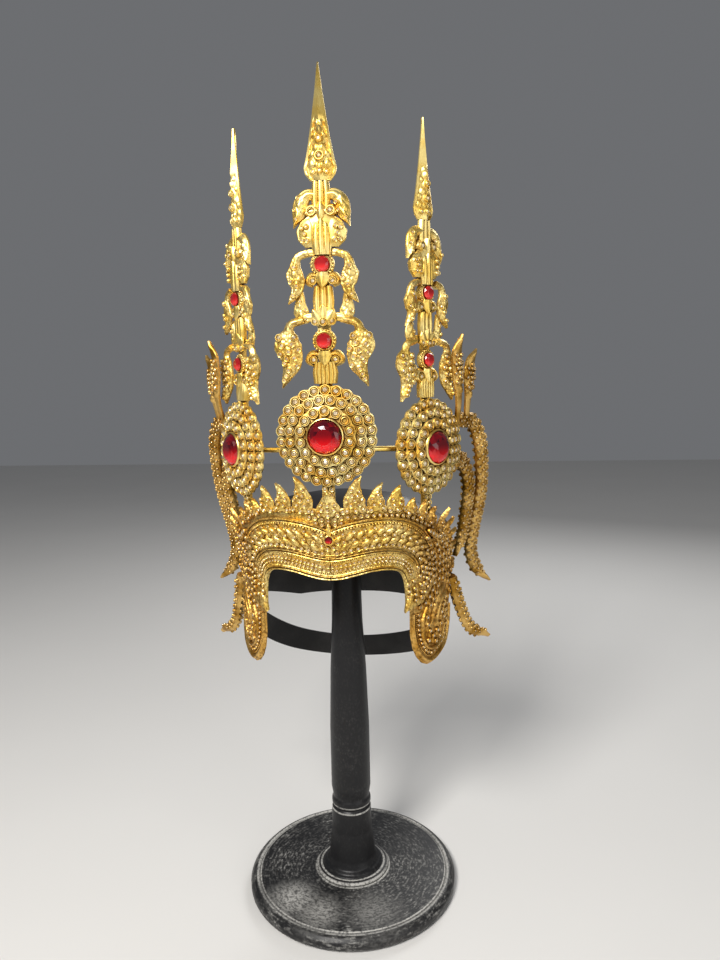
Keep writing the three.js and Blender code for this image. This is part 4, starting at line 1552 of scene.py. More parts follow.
@dataclass
class BrowBand(SubAssembly):
    """Band over the brow: two strips with ridges, bead lines, leaves and stones.

    Stations have angle and height of the lower edge, the groove and the upper border; the strips' profiles
    share of the width and height; calm where the ridges flatten, where they end and the height there; beads
    and stones strip, share, pitch, size and lift; leaves share, size, shift and slant.
    """

    wall: float = 2.2
    stations: Rows = (
        (0, 357.4, 0, 379.2, 0, 404),
        (5, 358.2, 5, 380, 5, 408.2),
        (12, 361, 12, 382.5, 12, 411.8),
        (20, 364, 20, 384.8, 20, 413.7),
        (28, 364.5, 28, 385, 28, 413.5),
        (33, 362.8, 34, 383, 35, 411),
        (36.8, 359, 39, 379, 41.5, 406),
        (39, 352.5, 44.5, 372, 47.5, 399),
        (40, 344, 48.5, 362, 53, 389),
        (40.2, 336, 50.6, 350, 57, 375),
        (40.2, 329, 51.4, 338, 59.6, 359),
        (39.4, 322, 51.6, 327, 60.8, 343),
    )
    lower: Rows = (
        (0.0, 1.0), (0.015, 2.1), (0.05, 2.8), (0.082, 2.4), (0.094, 0.6), (0.128, 0.6), (0.14, 2.0),
        (0.165, 2.3), (0.188, 1.8), (0.2, 0.6), (0.4, 0.8), (0.72, 0.8), (0.79, 0.6), (0.805, 1.7),
        (0.83, 2.1), (0.855, 1.7), (0.868, 0.3), (0.91, 0.3), (0.922, 1.8), (0.95, 2.4), (0.975, 1.9),
        (0.985, 0.4), (1.0, 0.2),
    )
    upper: Rows = (
        (0.0, 0.2), (0.03, 0.2), (0.1, 0.8), (0.3, 1.8), (0.45, 2.1), (0.6, 1.8), (0.74, 1.0),
        (0.84, 0.6), (0.852, 1.7), (0.875, 2.1), (0.898, 1.7), (0.908, 0.5), (0.938, 0.5), (0.95, 2.3),
        (0.975, 2.8), (0.992, 2.3), (1.0, 1.2),
    )
    back: Rows = ((1, 1), (1, 0.75), (1, 0.5), (1, 0.25), (0, 1), (0, 0.5), (0, 0))
    seam: float = 1.6
    calm: Row = (0.64, 0.78, 0.9)
    overlap: float = 0.06
    brow_free: float = 0.06
    end_free: float = 0.965
    cords: Rows = ((0, 0.225), (1, 0.075))
    cord_r: float = 0.6
    cord_lift: float = 0.5
    beads: Rows = ((0, 0.29, 1.8, 0.82, 0.1), (0, 0.765, 1.8, 0.82, 0.1), (1, 0.82, 2.7, 1.25, 0.3))
    stones: Rows = (
        (0, 0.42, 3.7, 1.75, 0.1), (0, 0.6, 3.7, 1.75, 0.1), (1, 0.13, 6.2, 2.6, 0.6),
        (1, 0.45, 9.0, 2.5, 0.9), (1, 0.7, 9.0, 2.0, 0.7),
    )
    end_stones: Rows = ((0, 0.12), (0, 0.5), (0, 0.9), (1, 0.16), (1, 0.4), (1, 0.64), (1, 0.88))
    end_pitch: float = 7.2
    end_size: float = 2.5
    end_lift: float = 0.7
    leaves: Rows = ((0.3, 3.3, 0.5, 38), (0.58, 3.2, 0.5, 34), (0.45, 2.4, 0.0, -30))
    leaf_pitch: float = 9.0
    leaf_shape: Row = (1.75, 0.86, 1.5)
    leaf_lean: float = 0.7
    tip_deg: Row = (43.4, 41.2, 38.8)
    tip_z: Row = (338.0, 330.0, 321.5)
    tip_lift: float = 2.6
    stone_z: float = 395.5
    stone_r: float = 3.0
    stone_lift: float = 2.2
    stone_cups: int = 9
    band: Casting = field(default_factory=Casting)

    def spot(self, s: Array, strip: int, t: float, lift: Any) -> Array:
        """Points lifted from the wall.

        Args:
            s: places from -1 at the left end to 1 at the right.
            strip: 0 for the lower strip, 1 for the upper.
            t: share of the strip's width.
            lift: distance from the wall.

        Returns:
            Points.
        """
        lines = []
        for line in (strip, strip + 1):
            knots = [(*row[2 * line : 2 * line + 2], 0.0) for row in self.stations]
            lines.append(bent(knots, np.abs(s)))
        deg, z, _ = (lines[0] + (lines[1] - lines[0]) * t).T
        return Plan.on_wall(deg * np.sign(s), z, lift)

    def face(self, s: Array, strip: int, t: float, lift: Any = 0.0) -> Array:
        """Points of the face, which has no ridges at its ends.

        Args:
            s: places along the band.
            strip: lower or upper strip.
            t: share of the strip's width.
            lift: height above the face.

        Returns:
            Points.
        """
        high = np.interp(t, *np.array((self.lower, self.upper)[strip]).T)
        first, last, level = self.calm
        ridged = 1 - np.clip((np.abs(s) - first) / (last - first), 0, 1)
        return self.spot(s, strip, t, self.wall + level + ridged * (high - level) + lift)

    def seats(self, s: Array, strip: int, t: float, size: Any, lift: float, slant: float = 0.0) -> Array:
        """Seats on the face.

        Args:
            s: places along the band.
            strip: lower or upper strip.
            t: share of the strip's width.
            size: size of each.
            lift: height above the face.
            slant: angle that they lean upwards, away from the brow, in degrees.

        Returns:
            Seat matrices.
        """
        points = self.face(s, strip, t, lift)
        along = unit(self.face(s + 0.003, strip, t) - self.face(s - 0.003, strip, t))
        up = unit(self.face(s, strip, t + 0.02) - self.face(s, strip, t - 0.02))
        lean = math.radians(slant)
        towards = along * np.sign(s)[:, None] * math.cos(lean) + up * math.sin(lean)
        return seats_at(points, Plan.outward(points), towards, size)

    def even(self, strip: int, t: float, pitch: float, end: float = 0.985) -> Array:
        """Places that are evenly spaced along a line of the band.

        Args:
            strip: lower or upper strip.
            t: share of the strip's width.
            pitch: distance between neighbours.
            end: place of the last, at most.

        Returns:
            Places from -1 to 1.
        """
        s = np.linspace(-end, end, 500)
        run = run_lengths(self.face(s, strip, t))
        count = int(run[-1] / pitch)
        return np.interp((np.arange(count) + 0.5) * run[-1] / count, run, s)

    def sections(self) -> Array:
        """Sections of the band with its ridges and grooves, and a seam in the lower strip.

        Returns:
            Rows of points.
        """
        s = np.sort(np.concatenate([np.linspace(-1, 1, 221), [-0.004, 0.004]]))
        seam = np.where(np.abs(s) < 0.003, -self.seam, 0.0)
        rows = [self.face(s, 0, t, seam) for t, _ in self.lower]
        rows += [self.face(s, 1, t) for t, _ in self.upper]
        rows += [self.spot(s, strip, t, 0.0) for strip, t in self.back]
        return np.stack(rows, 1)

    def cords_and_beads(self) -> None:
        """Add the twisted cords and the rows of beads."""
        s = np.linspace(-self.calm[1], self.calm[1], 900)
        twist = 1 + 0.3 * np.abs(np.sin(np.arange(len(s)) * math.pi / 5))
        for strip, t in self.cords:
            tube(self.face(s, strip, t, self.cord_lift), self.cord_r * twist, 6, self.band.body)
        for strip, t, pitch, size, lift in self.beads:
            s = self.even(strip, t, pitch, self.calm[1])
            self.band.tray.beads.copies(Setting.BEAD, self.seats(s, strip, t, size, lift))

    def stone_rows(self) -> None:
        """Add the rows of stones, and the scattered ones at the ends."""
        calm = self.calm[0] + self.overlap
        for strip, t, pitch, size, lift in self.stones:
            s = self.even(strip, t, pitch)
            s = s + (s[1] - s[0]) / 2 * (t > 0.5)
            clear = ((np.abs(s) > self.brow_free) | (strip == 0)) & (np.abs(s) < calm)
            self.band.tray.set_stones(self.seats(s[clear], strip, t, size, lift))
        for strip, t in self.end_stones:
            s = self.even(strip, t, self.end_pitch)
            s = s + 0.3 * (s[1] - s[0]) * np.sin(np.arange(len(s)) * 5.3 + 9.0 * t)
            s = s[(np.abs(s) > calm) & (np.abs(s) < self.end_free)]
            size = self.end_size + 0.4 * np.sin(np.arange(len(s)) * 3.7)
            self.band.tray.set_stones(self.seats(s, strip, t, size, self.end_lift))

    def leaf_rows(self) -> None:
        """Add the slanted leaves of the upper strip."""
        points, faces = Setting.SCALE
        leaf = points * np.array(self.leaf_shape) + points[:, 2:] * np.array([self.leaf_lean, 0, 0])
        for t, size, shift, slant in self.leaves:
            s = self.even(1, t, self.leaf_pitch)
            s = s + (s[1] - s[0]) * shift
            s = s[(np.abs(s) > self.brow_free) & (np.abs(s) < self.calm[1])]
            self.band.body.copies((leaf, faces), self.seats(s, 1, t, size, 0.0, slant))

    def build(self) -> None:
        """Make the band and the red stone over the brow."""
        self.band.body.skin(self.sections())
        self.cords_and_beads()
        self.stone_rows()
        self.leaf_rows()
        self.end_leaves()
        self.band.place("brow_band", self.paints.faded, self.paints)
        self.stone()

    def end_leaves(self) -> None:
        """Add the small pointed leaf at the front of each lower end."""
        widths = (2.4, 3.6, 2.6, 0.5)
        for side in Side:
            knots = side.rule(Plan.on_wall(np.array(self.tip_deg), np.array(self.tip_z), self.tip_lift))
            Blade(knots, widths, 0.5, 3.2, Plan.outward, 24, 15, rim=0.5).add_to(self.band.body)

    def stone(self) -> None:
        """Make the small red stone over the brow in its ring of cups, with a petal above it."""
        z, r = self.stone_z, self.stone_r
        seat = float(Plan.wall(0, z)) + self.wall + self.stone_lift + GAP
        ring = Casting()
        tiers = [(0.86 * r, 0, 0), (r, 0.9, 0), (0.8 * r, 1.8, 0.5), (0.56 * r, 2.4, 1.0)]
        gem = Lump().add(*turned_out(cut_stone(10, tiers), 0, 0))
        profile = [(r + 2.0, -2.4), (r + 1.9, 0.4), (r + 1.2, 1.3), (r + 0.5, 1.4), (r + 0.1, 0.9)]
        ring.body.add(*turned_out(lathe(profile, 32), 0, 0))
        widths = (2.2, 3.4, 2.4, 0.5)
        petal = [(0, -1.8, 4.0), (0, -1.4, 9.0), (0, -0.8, 16.0)]
        Blade(petal, widths, 0.5, 3.4, forward, 22, 13, rim=0.4).add_to(ring.body)
        around = ring_seats(r + 5.0, self.stone_cups, -1.0, 2.3)
        ring.tray.set_stones(around[np.abs(around[:, 3, 0]) + np.abs(around[:, 3, 2] - 8.0) > 3.0])

        def over_brow(points: Array) -> Array:
            """Points of the stone's axes in the object's frame."""
            return np.stack([points[:, 0], -seat - points[:, 1], points[:, 2] + z], -1)

        settle(gem.mesh("brow_stone_cut", self.paints.red, None, over_brow), ["brow_stone"])
        ring.place("brow_stone_ring", self.paints.plain, self.paints, over_brow, trim=True)


@dataclass
class Crest(SubAssembly):
    """Strip of flame leaves above the band, with hooked plain tips.

    A leaf has the angle of its root, the angle and height of its tip and its half width. A row of stones has
    its distance below the strip's top, its first and last angle, its pitch and the size of its cups.
    """

    thick: float = 1.8
    behind: float = 0.45
    end: float = 60.0
    sink: float = 1.6
    root_below: float = 3.0
    line_deg: Row = (0, 7, 18, 27, 38, 47, 53, 60)
    line_low: Row = (397, 401, 404, 404, 400, 390.5, 389, 389)
    line_notch: Row = (420, 423, 424, 423.5, 420.5, 413, 408, 402)
    leaves: Rows = (
        (0, 0, 439, 11), (12.3, 15, 451, 10), (22.3, 24.8, 444.5, 8.4), (32, 33.4, 441, 9.4),
        (41, 42, 428, 7.6), (48.6, 49.8, 424, 6.6), (55.6, 58.4, 416, 6.6),
    )
    rise: Row = (0, 0.4, 0.75, 1)
    lean: Row = (0, -0.15, 0.2, 1)
    half: Row = (0.95, 0.95, 0.6, 0.3, 0.05)
    cover: Cover = Cover((0.05, 0.6), (5.4, 4.2), 2.6, 1.0, 0.46, 1, 2.6)
    stones: Rows = ((3.0, -57.0, 57.5, 5.2, 2.4), (8.0, -9.0, 57.5, 5.6, 2.3), (12.6, -6.0, 7.0, 5.6, 2.2))
    stone_lift: float = 0.5
    unroll: float = 1.88

    def notch(self, deg: Any) -> Array:
        """Height of the strip's top."""
        return np.interp(np.abs(deg), self.line_deg, self.line_notch)

    def strip(self) -> Lump:
        """Strip behind the band's upper border.

        Returns:
            The strip.
        """
        deg = np.linspace(-self.end, self.end, 90)
        low, high = np.interp(np.abs(deg), self.line_deg, self.line_low), self.notch(deg)
        steps = ((low, 0.0), (high - 1, 0.0), (high, 0.6), (high, self.thick), (low, self.thick))
        return Lump().skin(np.stack([Plan.on_wall(deg, z, -self.behind - inset) for z, inset in steps], 1))

    def build(self) -> None:
        """Make the crest."""
        crest = Casting(body=self.strip())
        for deg, tip_deg, tip, half in self.leaves:
            root = float(self.notch(deg)) - self.root_below
            widths = [share * half for share in self.half]
            z = root + (tip - root) * np.array(self.rise)
            turn = deg + (tip_deg - deg) * np.array(self.lean)
            radius = Plan.wall(deg, z) - self.behind - self.sink
            for side in Side if deg else (Side.RIGHT,):
                knots = side.rule(Plan.polar(turn, radius, z))
                blade = Blade(knots, widths, 0.5, 4.0, Plan.outward, 44, 25, rim=0.7)
                crest.jewel(blade, self.cover)
        for drop, first, last, pitch, size in self.stones:
            deg = np.arange(first, last, pitch / self.unroll)
            z = self.notch(deg) - drop
            points = Plan.on_wall(deg, z, self.stone_lift - self.behind)
            along = Plan.polar(deg + 90, 1.0, 0.0)
            crest.tray.set_stones(seats_at(points, Plan.outward(points), along, size))
        crest.place("crest", self.paints.faded, self.paints)


@dataclass
class EarFlap(SubAssembly):
    """Flap over the ear with a plain rim, scroll lines, stones and rear leaves.

    The edge has angles with the lower and upper height, a rear leaf the angle and height of its root and
    tip. Rows along the rim have their inset, pitch, size and lift.
    """

    thick: float = 2.0
    unroll: float = 1.76
    edge: Rows = (
        (44.4, 298, 388), (46, 284, 388), (49, 274, 387.5), (53, 266.5, 386.5), (57, 263.5, 385),
        (61, 263.5, 384), (65, 265.5, 388), (69, 268, 385), (73, 271.5, 381), (77, 277, 376),
        (81, 288, 369), (84.5, 306, 360), (87, 328, 350),
    )
    rim: Rows = (
        (46, 317), (46, 301), (47.6, 288), (50.4, 278), (54.5, 270.4), (59, 267), (64, 268.2),
        (69, 271.2), (74, 275.4), (78, 283), (81.4, 296), (83.6, 311),
    )
    scrolls: tuple[Rows, ...] = (
        ((74, 336), (68.5, 329), (63, 316), (60, 302)),
        ((77, 328), (71.5, 321), (66.5, 309), (64, 298)),
        ((56.5, 320), (52.8, 306), (53.4, 290), (58, 279.5), (65, 278), (71, 284), (75, 295)),
    )
    rear: Rows = (
        (65, 381, 67, 413), (70.5, 374, 74, 402), (76, 366, 81, 389), (81, 356, 88, 374),
        (84, 343, 92, 354),
    )
    arc: Pair = (46.0, 352.0)
    arc_far: float = 96.0
    band_end: float = 62.5
    edge_room: Pair = (4.0, 3.0)
    band_room: Pair = (2.5, 1.6)
    rim_room: float = 9.2
    scroll_room: float = 4.2
    rim_half: Row = (2, 2.7, 2.7, 2.7, 1.6)
    scroll_half: Row = (1.4, 2.4, 2.4, 2.2, 1.2)
    bead_row: Row = (4.0, 1.9, 0.95, 0.1)
    stone_row: Row = (6.9, 4.8, 2.1, 0.5)
    ground_pitch: float = 7.4
    stone_from: float = 24.0
    scale_from: float = 27.7
    scale_shape: Row = (1.0, 1.5, 1.0)
    corner: Rows = ((53.6, 394), (56, 391.6), (58.2, 388.6), (60.6, 387), (63, 386.5))
    rear_half: Row = (5, 6, 3.4, 0.6)
    rear_cover: Cover = Cover((0.1, 0.6), (4.8, 3.8), 2.2, 0.8, 0.48)

    def spot(self, deg: Any, z: Any, lift: Any = 0.0) -> Array:
        """Points lifted from the flap's face."""
        return Plan.on_wall(deg, z, lift - GAP)

    def seats(self, deg: Array, z: Array, size: float, lift: float) -> Array:
        """Seats on the face at angles and heights."""
        points = self.spot(deg, z, lift)
        return seats_at(points, Plan.outward(points), Plan.polar(deg + 90, 1.0, 0.0), size)

    def plate(self) -> Lump:
        """Plate with softened edges.

        Returns:
            The plate.
        """
        table = np.array(self.edge)
        deg = np.linspace(table[0, 0], table[-1, 0], 70)[:, None]
        low, high = (np.interp(deg, table[:, 0], table[:, k]) for k in (1, 2))
        share = np.linspace(0, 1, 40)
        z = low + (high - low) * share
        soft = -0.7 * np.maximum(0, 1 - np.minimum(z - low, high - z) / 1.5)
        front = self.spot(deg + 0 * z, z, soft)
        back = self.spot(deg + 0 * z, z, -self.thick)[:, [-1, 20, 0]]
        return Lump().skin(np.concatenate([front, back], 1))

    def raised(self, path: Rows, half: Row, sink: float, ridge: float) -> Blade:
        """Rounded ridge along a path of angles and heights."""
        knots = [self.spot(deg, z, -sink) for deg, z in path]
        return Blade(knots, half, 0.4, ridge, Plan.outward, 90, 11, full=2.2)

    def inset(self, path: Rows, distance: float, pitch: float) -> tuple[Array, Array]:
        """Angles and heights, evenly spaced on a line at a distance inside a path.

        Args:
            path: angles and heights.
            distance: how far inside.
            pitch: distance between neighbours.

        Returns:
            Angles and heights.
        """
        stretch = np.array([self.unroll, 1.0, 0.0])
        line = bent([np.array([*spot, 0.0]) * stretch for spot in path], np.linspace(0, 1, 200))[:, :2]
        step = unit(np.gradient(line, axis=0))
        line = line + np.stack([-step[:, 1], step[:, 0]], -1) * distance
        run = run_lengths(line)
        at = np.arange(pitch / 2, run[-1], pitch)
        return np.interp(at, run, line[:, 0]) / self.unroll, np.interp(at, run, line[:, 1])

    def field(self, first: float, pitch: float) -> tuple[Array, Array]:
        """Spots in arcs round the band's corner, clear of the rim, the scrolls and the band.

        Args:
            first: radius of the first arc.
            pitch: distance between arcs and along them.

        Returns:
            Angles and heights.
        """
        table = np.array(self.edge)
        spots = []
        for i, r in enumerate(np.arange(first, self.arc_far, pitch)):
            turn = np.arange(-1.7 + (i % 2) * pitch / r / 2, 1.2, pitch / r)
            turn = turn + 0.3 * pitch / r * np.sin(np.arange(len(turn)) * 12.9 + i * 7.1)
            spots.append(np.stack([r * np.cos(turn) / self.unroll, r * np.sin(turn)]))
        deg, z = np.concatenate(spots, 1) + np.array(self.arc)[:, None]
        low, high = (np.interp(deg, table[:, 0], table[:, k]) for k in (1, 2))
        clear = (z > low + self.edge_room[0]) & (z < high - self.edge_room[1])
        under = np.array(BrowBand.stations[-1]).reshape(3, 2)
        beside = np.array(BrowBand.stations[:-5:-1])[:, 4:]
        below = z < np.interp(deg, *under.T) - self.band_room[0]
        beyond = deg > np.interp(z, *beside[:, ::-1].T) + self.band_room[1]
        clear &= below | (beyond & (z > under[-1, 1])) | (deg > self.band_end)
        for path, room in ((self.rim, self.rim_room), *((line, self.scroll_room) for line in self.scrolls)):
            line = np.stack(self.inset(path, 0.0, 1.0), -1)
            away = (np.stack([deg, z], -1)[:, None] - line) * np.array([self.unroll, 1.0])
            clear &= np.linalg.norm(away, axis=-1).min(1) > room
        return deg[clear], z[clear]

    def build(self) -> None:
        """Make both flaps."""
        flap = Casting(body=self.plate())
        self.raised(self.rim, self.rim_half, 0.8, 3.2).add_to(flap.body)
        for path in self.scrolls:
            self.raised(path, self.scroll_half, 1.0, 3.4).add_to(flap.body)
        inset, pitch, size, lift = self.bead_row
        flap.tray.beads.copies(Setting.BEAD, self.seats(*self.inset(self.rim, inset, pitch), size, lift))
        inset, pitch, size, lift = self.stone_row
        flap.tray.set_stones(self.seats(*self.inset(self.rim, inset, pitch), size, lift))
        flap.tray.set_stones(self.seats(*self.field(self.stone_from, self.ground_pitch), 3.0, 0.7))
        points, faces = Setting.SCALE
        ground = self.seats(*self.field(self.scale_from, self.ground_pitch), 2.8, 0.0)
        flap.body.copies((points * np.array(self.scale_shape), faces), ground)
        flap.tray.set_stones(self.seats(*np.array(self.corner).T, 3.2, 2.6))
        for deg, z, tip_deg, tip in self.rear:
            middle = Plan.polar((deg + tip_deg) / 2 - 1, Plan.wall(deg, z) - GAP + 0.5, (z + tip) / 2 + 2)
            knots = [self.spot(deg, z, -1.5), middle, self.spot(tip_deg, tip, 2.5)]
            leaf = Blade(knots, self.rear_half, 0.5, 4.0, Plan.outward, 36, 21, rim=0.7)
            flap.jewel(leaf, self.rear_cover)
        for side in Side:
            flap.place(f"ear_flap_{side.label}", self.paints.aged, self.paints, side.rule)


@dataclass
class SideStalks(SubAssembly):
    """Stalks, flames and tails beside the ears, covered with scales that hold stones."""

    outer: Rows = (
        (124, 0, 491), (133, 14, 474), (136, 25, 450), (136, 40, 415), (129, 50, 372), (126.5, 52, 351),
        (133, 54, 330), (148, 57, 315),
    )
    outer_half: Row = (3, 4, 6, 7, 8, 8, 7.5, 7, 7.5, 6.5, 0.7)
    inner: Rows = ((115, 0, 453), (122.5, 18, 430), (121, 29, 399), (116, 31, 368), (109, 24, 350))
    inner_half: Row = (3, 4, 6, 7, 7, 6.5, 5.5, 1.5)
    flames: tuple[Rows, ...] = (
        (
            (110, -21, 488), (112, -32, 505), (112, -41, 519), (110.8, -46, 538), (110.6, -48.5, 555),
            (115.6, -48.5, 570.5),
        ),
        (
            (121, -4, 487), (120.6, -14, 502), (121.4, -21, 516), (122.4, -22, 534), (123.6, -20.5, 546),
            (129.5, -15, 558.5),
        ),
    )
    flame_half: Row = (3.4, 3.6, 4.2, 7.4, 5.8, 0.6)
    flame_cover: Cover = Cover((0.52, 0.8), (5.0, 4.0), 2.4, 0.9, 0.5)
    tail: Rows = ((103.6, -11.5, 338), (112, 8, 303), (124, 28, 272), (146, 46, 256))
    tail_half: Row = (4, 7, 7, 0.6)
    root: Row = (8.5, 23.5, 47)
    root_back: float = -3.6
    bare_tip: float = 11.0
    outer_start: float = 0.14
    inner_start: float = 0.18
    tail_start: float = 0.05
    front_cover: Cover = Cover((0.0, 1.0), (5.2, 4.6), 0.9, 1.7, 0.36)
    back_cover: Cover = Cover((0.02, 1.0), (5.4, 4.6), 0.6, 1.3, 0.36)

    def stalk(self, spine: Rows, half: Row) -> Blade:
        """Stalk that starts beside the stem, behind the rosette.

        Args:
            spine: knots after its root.
            half: half widths.

        Returns:
            The blade of its face.
        """
        z = spine[0][2] - RIGHT.z
        root = [RIGHT.world(np.array([u, self.root_back, z])) for u in self.root]
        return Blade([*root, *spine], half, 2.2, 5.6, RIGHT.facing_of, 190, 31, full=2.2)

    def rope(self, front: Blade, start: float, casting: Casting) -> None:
        """Add a stalk with scales all round.

        Args:
            front: blade of its face.
            start: share of its length where the scales start.
            casting: takes it.
        """
        stop = 1 - self.bare_tip / front.s[-1]
        t = np.linspace(start + 0.1, 1, 16)
        half = rounded(front.left, t)
        back = Blade(bent(front.knots, t), half, 0.1, 1.4, lambda at: -front.face(at), 110, 25, full=2.2)
        casting.jewel(back, replace(self.back_cover, span=(self.back_cover.span[0], stop)))
        casting.jewel(front, replace(self.front_cover, span=(start, stop)))

    def build(self) -> None:
        """Make the stalks and tails of both sides."""
        outer, inner, tail = Casting(), Casting(), Casting()
        self.rope(self.stalk(self.outer, self.outer_half), self.outer_start, outer)
        self.rope(self.stalk(self.inner, self.inner_half), self.inner_start, inner)
        for knots in self.flames:
            blade = Blade(knots, self.flame_half, 1.6, 3.8, RIGHT.facing_of, 90, 23, rim=0.4)
            blade.domes.append(Dome(0.44 * blade.s[-1], 0.0, 3.4, 4.6, 1.8))
            outer.jewel(blade, self.flame_cover)
        spine = np.array(self.tail)
        spine = spine + Plan.outward(spine) * GAP
        front = Blade(spine, self.tail_half, 2.4, 6.6, Plan.outward, 120, 35, full=2.2)
        self.rope(front, self.tail_start, tail)
        for casting, name in ((outer, "stalk_outer"), (inner, "stalk_inner"), (tail, "cheek_tail")):
            for side in Side:
                casting.place(f"{name}_{side.label}", self.paints.rope, self.paints, side.rule)


@dataclass
class Rods(SubAssembly):
    """Round rods behind the rosettes."""

    radius: float = 2.4
    centre_z: float = 474.0
    side_z: float = 470.0
    clear_deg: float = 0.06

    def build(self) -> None:
        """Make both rods."""
        start = math.degrees((Spire.bar_half + GAP) / SPIRE_BACK) + self.clear_deg
        deg = np.linspace(start, RIGHT.deg - start, 40)
        path = Plan.polar(deg, SPIRE_BACK, np.linspace(self.centre_z, self.side_z, 40))
        for side in Side:
            lump, name = Lump(), f"rod_{side.label}"
            tube(side.rule(path), self.radius, 14, lump)
            settle(lump.mesh(f"{name}_drawn", self.paints.plain), [name])


@dataclass
class Stand:
    """Turned stand: a flat base, a post and a cap that the crown sits on, and the softness of each."""

    base: Rows = (
        (0.01, 0), (105, 0), (109, 4), (109, 10), (105, 14.2), (101.6, 15), (100, 13.4), (98.4, 15),
        (0.01, 15),
    )
    post: Rows = (
        (0.01, 15.3), (38, 15.3), (38, 17.5), (35.5, 19.5), (31.5, 19.5), (30.5, 22.5), (27, 24.5),
        (24.5, 31), (20.9, 60), (20.7, 84), (18.2, 86.5), (20.5, 89.5), (20.5, 94), (18.8, 97),
        (20.6, 108), (20.5, 173), (18.5, 237), (15.8, 288), (14, 378), (0.01, 378),
    )
    cap: Rows = ((60, 378.3), (6, 379), (0, 381.5), (0, 388), (5, 394), (40, 414), (70, 420))
    cap_rim: float = 379.0
    cap_room: float = 2.0
    ear_deg: float = 66.0
    ear_step: float = 8.0
    softness: Row = (1.6, 1.2, 4.0)
    base_worn: WornWood = WornWood(
        "worn_base",
        edges=((0.101, 0.0152, 0.0028), (0.0985, 0.0148, 0.0012), (0.0388, 0.0155, 0.002)),
        scuff=0.66,
        patches=((-0.052, -0.058, 0.036, 0.8), (-0.024, -0.076, 0.034, 0.65), (0.028, -0.07, 0.05, 0.4)),
    )
    post_worn: WornWood = WornWood(
        "worn_post",
        edges=(
            (0.0375, 0.0176, 0.0024), (0.0335, 0.0196, 0.0016), (0.0206, 0.0895, 0.0016),
            (0.0206, 0.0838, 0.0012),
        ),
        scuff=0.06,
    )
    cap_worn: WornWood = WornWood("worn_cap", scuff=0.05)
    sides: int = 160

    def softened(self, profile: Sequence[Row], soft: float) -> list[Array]:
        """Profile with its corners rounded to a size.

        Args:
            profile: radii and heights.
            soft: size of the rounding.

        Returns:
            The rounded profile.
        """
        points = np.array(profile, float)
        line = [points[0]]
        for before, here, after in zip(points[:-2], points[1:-1], points[2:]):
            a, b = before - here, after - here
            reach = min(soft, 0.45 * np.linalg.norm(a), 0.45 * np.linalg.norm(b))
            start, stop = here + unit(a) * reach, here + unit(b) * reach
            line += [(1 - t) ** 2 * start + 2 * t * (1 - t) * here + t * t * stop for t in (0, 0.33, 0.67, 1)]
        return [*line, points[-1]]

    def build(self) -> None:
        """Make the base, the post and the cap, which follows the crown's wall."""
        profiles = zip((self.base, self.post, self.cap), self.softness)
        base_line, post_line, cap_line = (self.softened(profile, soft) for profile, soft in profiles)
        base, post = (Lump().add(*lathe(line, self.sides)) for line in (base_line, post_line))
        deg = np.arange(-180, 180, 3.0)
        past_ear = np.clip((np.abs(deg) - self.ear_deg) / self.ear_step, 0, 1)
        rim = Plan.wall(deg, self.cap_rim) - (self.cap_room + self.cap_room * past_ear + 3 * GAP)
        cap = Lump().skin(np.stack([Plan.polar(deg, rim - inset, z) for inset, z in cap_line]))
        for lump, name, worn in (
            (base, "stand_base", self.base_worn),
            (post, "stand_post", self.post_worn),
            (cap, "stand_cap", self.cap_worn),
        ):
            settle(lump.mesh(f"{name}_turned", worn.material(), 40.0), [name])


@dataclass
class BlackLining(SubAssembly):
    """Leather panel behind the head and the strap under it, whose path is given to its middle."""

    thick: float = 2.0
    strap_wide: float = 24.0
    panel_deg: Row = (80, 95, 112, 140, 180)
    panel_low: Row = (334, 322, 306, 292, 290)
    panel_high: Row = (350, 374, 388, 396, 398)
    strap_path: Rows = ((96.8, -16, 310), (97, 30, 274), (66, 74, 240), (0, 92, 226))
    wave: float = 0.35

    def panel(self) -> None:
        """Make the panel: a soft curved sheet with a rolled edge."""
        deg = np.linspace(self.panel_deg[0], 360 - self.panel_deg[0], 90)[:, None]
        near = np.minimum(deg, 360 - deg)
        low, high = (np.interp(near, self.panel_deg, row) for row in (self.panel_low, self.panel_high))
        share = np.linspace(0, 1, 24)
        z = low + (high - low) * share
        tight = np.minimum(1, np.minimum(share, 1 - share) * 9) ** 0.5
        side = np.clip((near - self.panel_deg[0]) / 3 + 0.25, 0, 1)
        wave = self.wave * np.sin(deg * 0.37) * np.sin(share * 6.0) * tight
        inside = EarFlap.thick + 2 * GAP
        middle = Plan.wall(near + 0 * z, z) - inside - 0.5 * self.thick - self.wave + wave
        swell = 0.5 * self.thick * tight * side
        outer, inner = (Plan.polar(deg, middle + k * swell, z) for k in (1, -1))
        lump = Lump().skin(np.concatenate([outer, inner[:, ::-1]], 1))
        panel = settle(lump.mesh("back_panel_hide", self.paints.hide, 60.0), ["back_panel"])

    def strap(self) -> None:
        """Make the strap that hangs in a U under the panel."""
        half = self.strap_path
        path = bent([*half, *((-x, y, z) for x, y, z in half[-2::-1])], np.linspace(0, 1, 120))
        along = unit(np.gradient(path, axis=0))
        out = Plan.outward(path)
        out = unit(out - along * (out * along).sum(1, keepdims=True)) * self.thick / 2
        across = unit(np.cross(along, out)) * self.strap_wide / 2
        section = [(-1, -0.4), (-0.96, -1), (0.96, -1), (1, -0.4), (1, 0.4), (0.96, 1), (-0.96, 1), (-1, 0.4)]
        lump = Lump().skin(np.stack([path + across * w + out * d for w, d in section], 1))
        strap = settle(lump.mesh("nape_strap_hide", self.paints.hide, 50.0), ["nape_strap"])
        tuple(path[0] * MM)
        [tuple(point * MM) for point in path]

    def build(self) -> None:
        """Make the panel and the strap."""
        self.panel()
        self.strap()


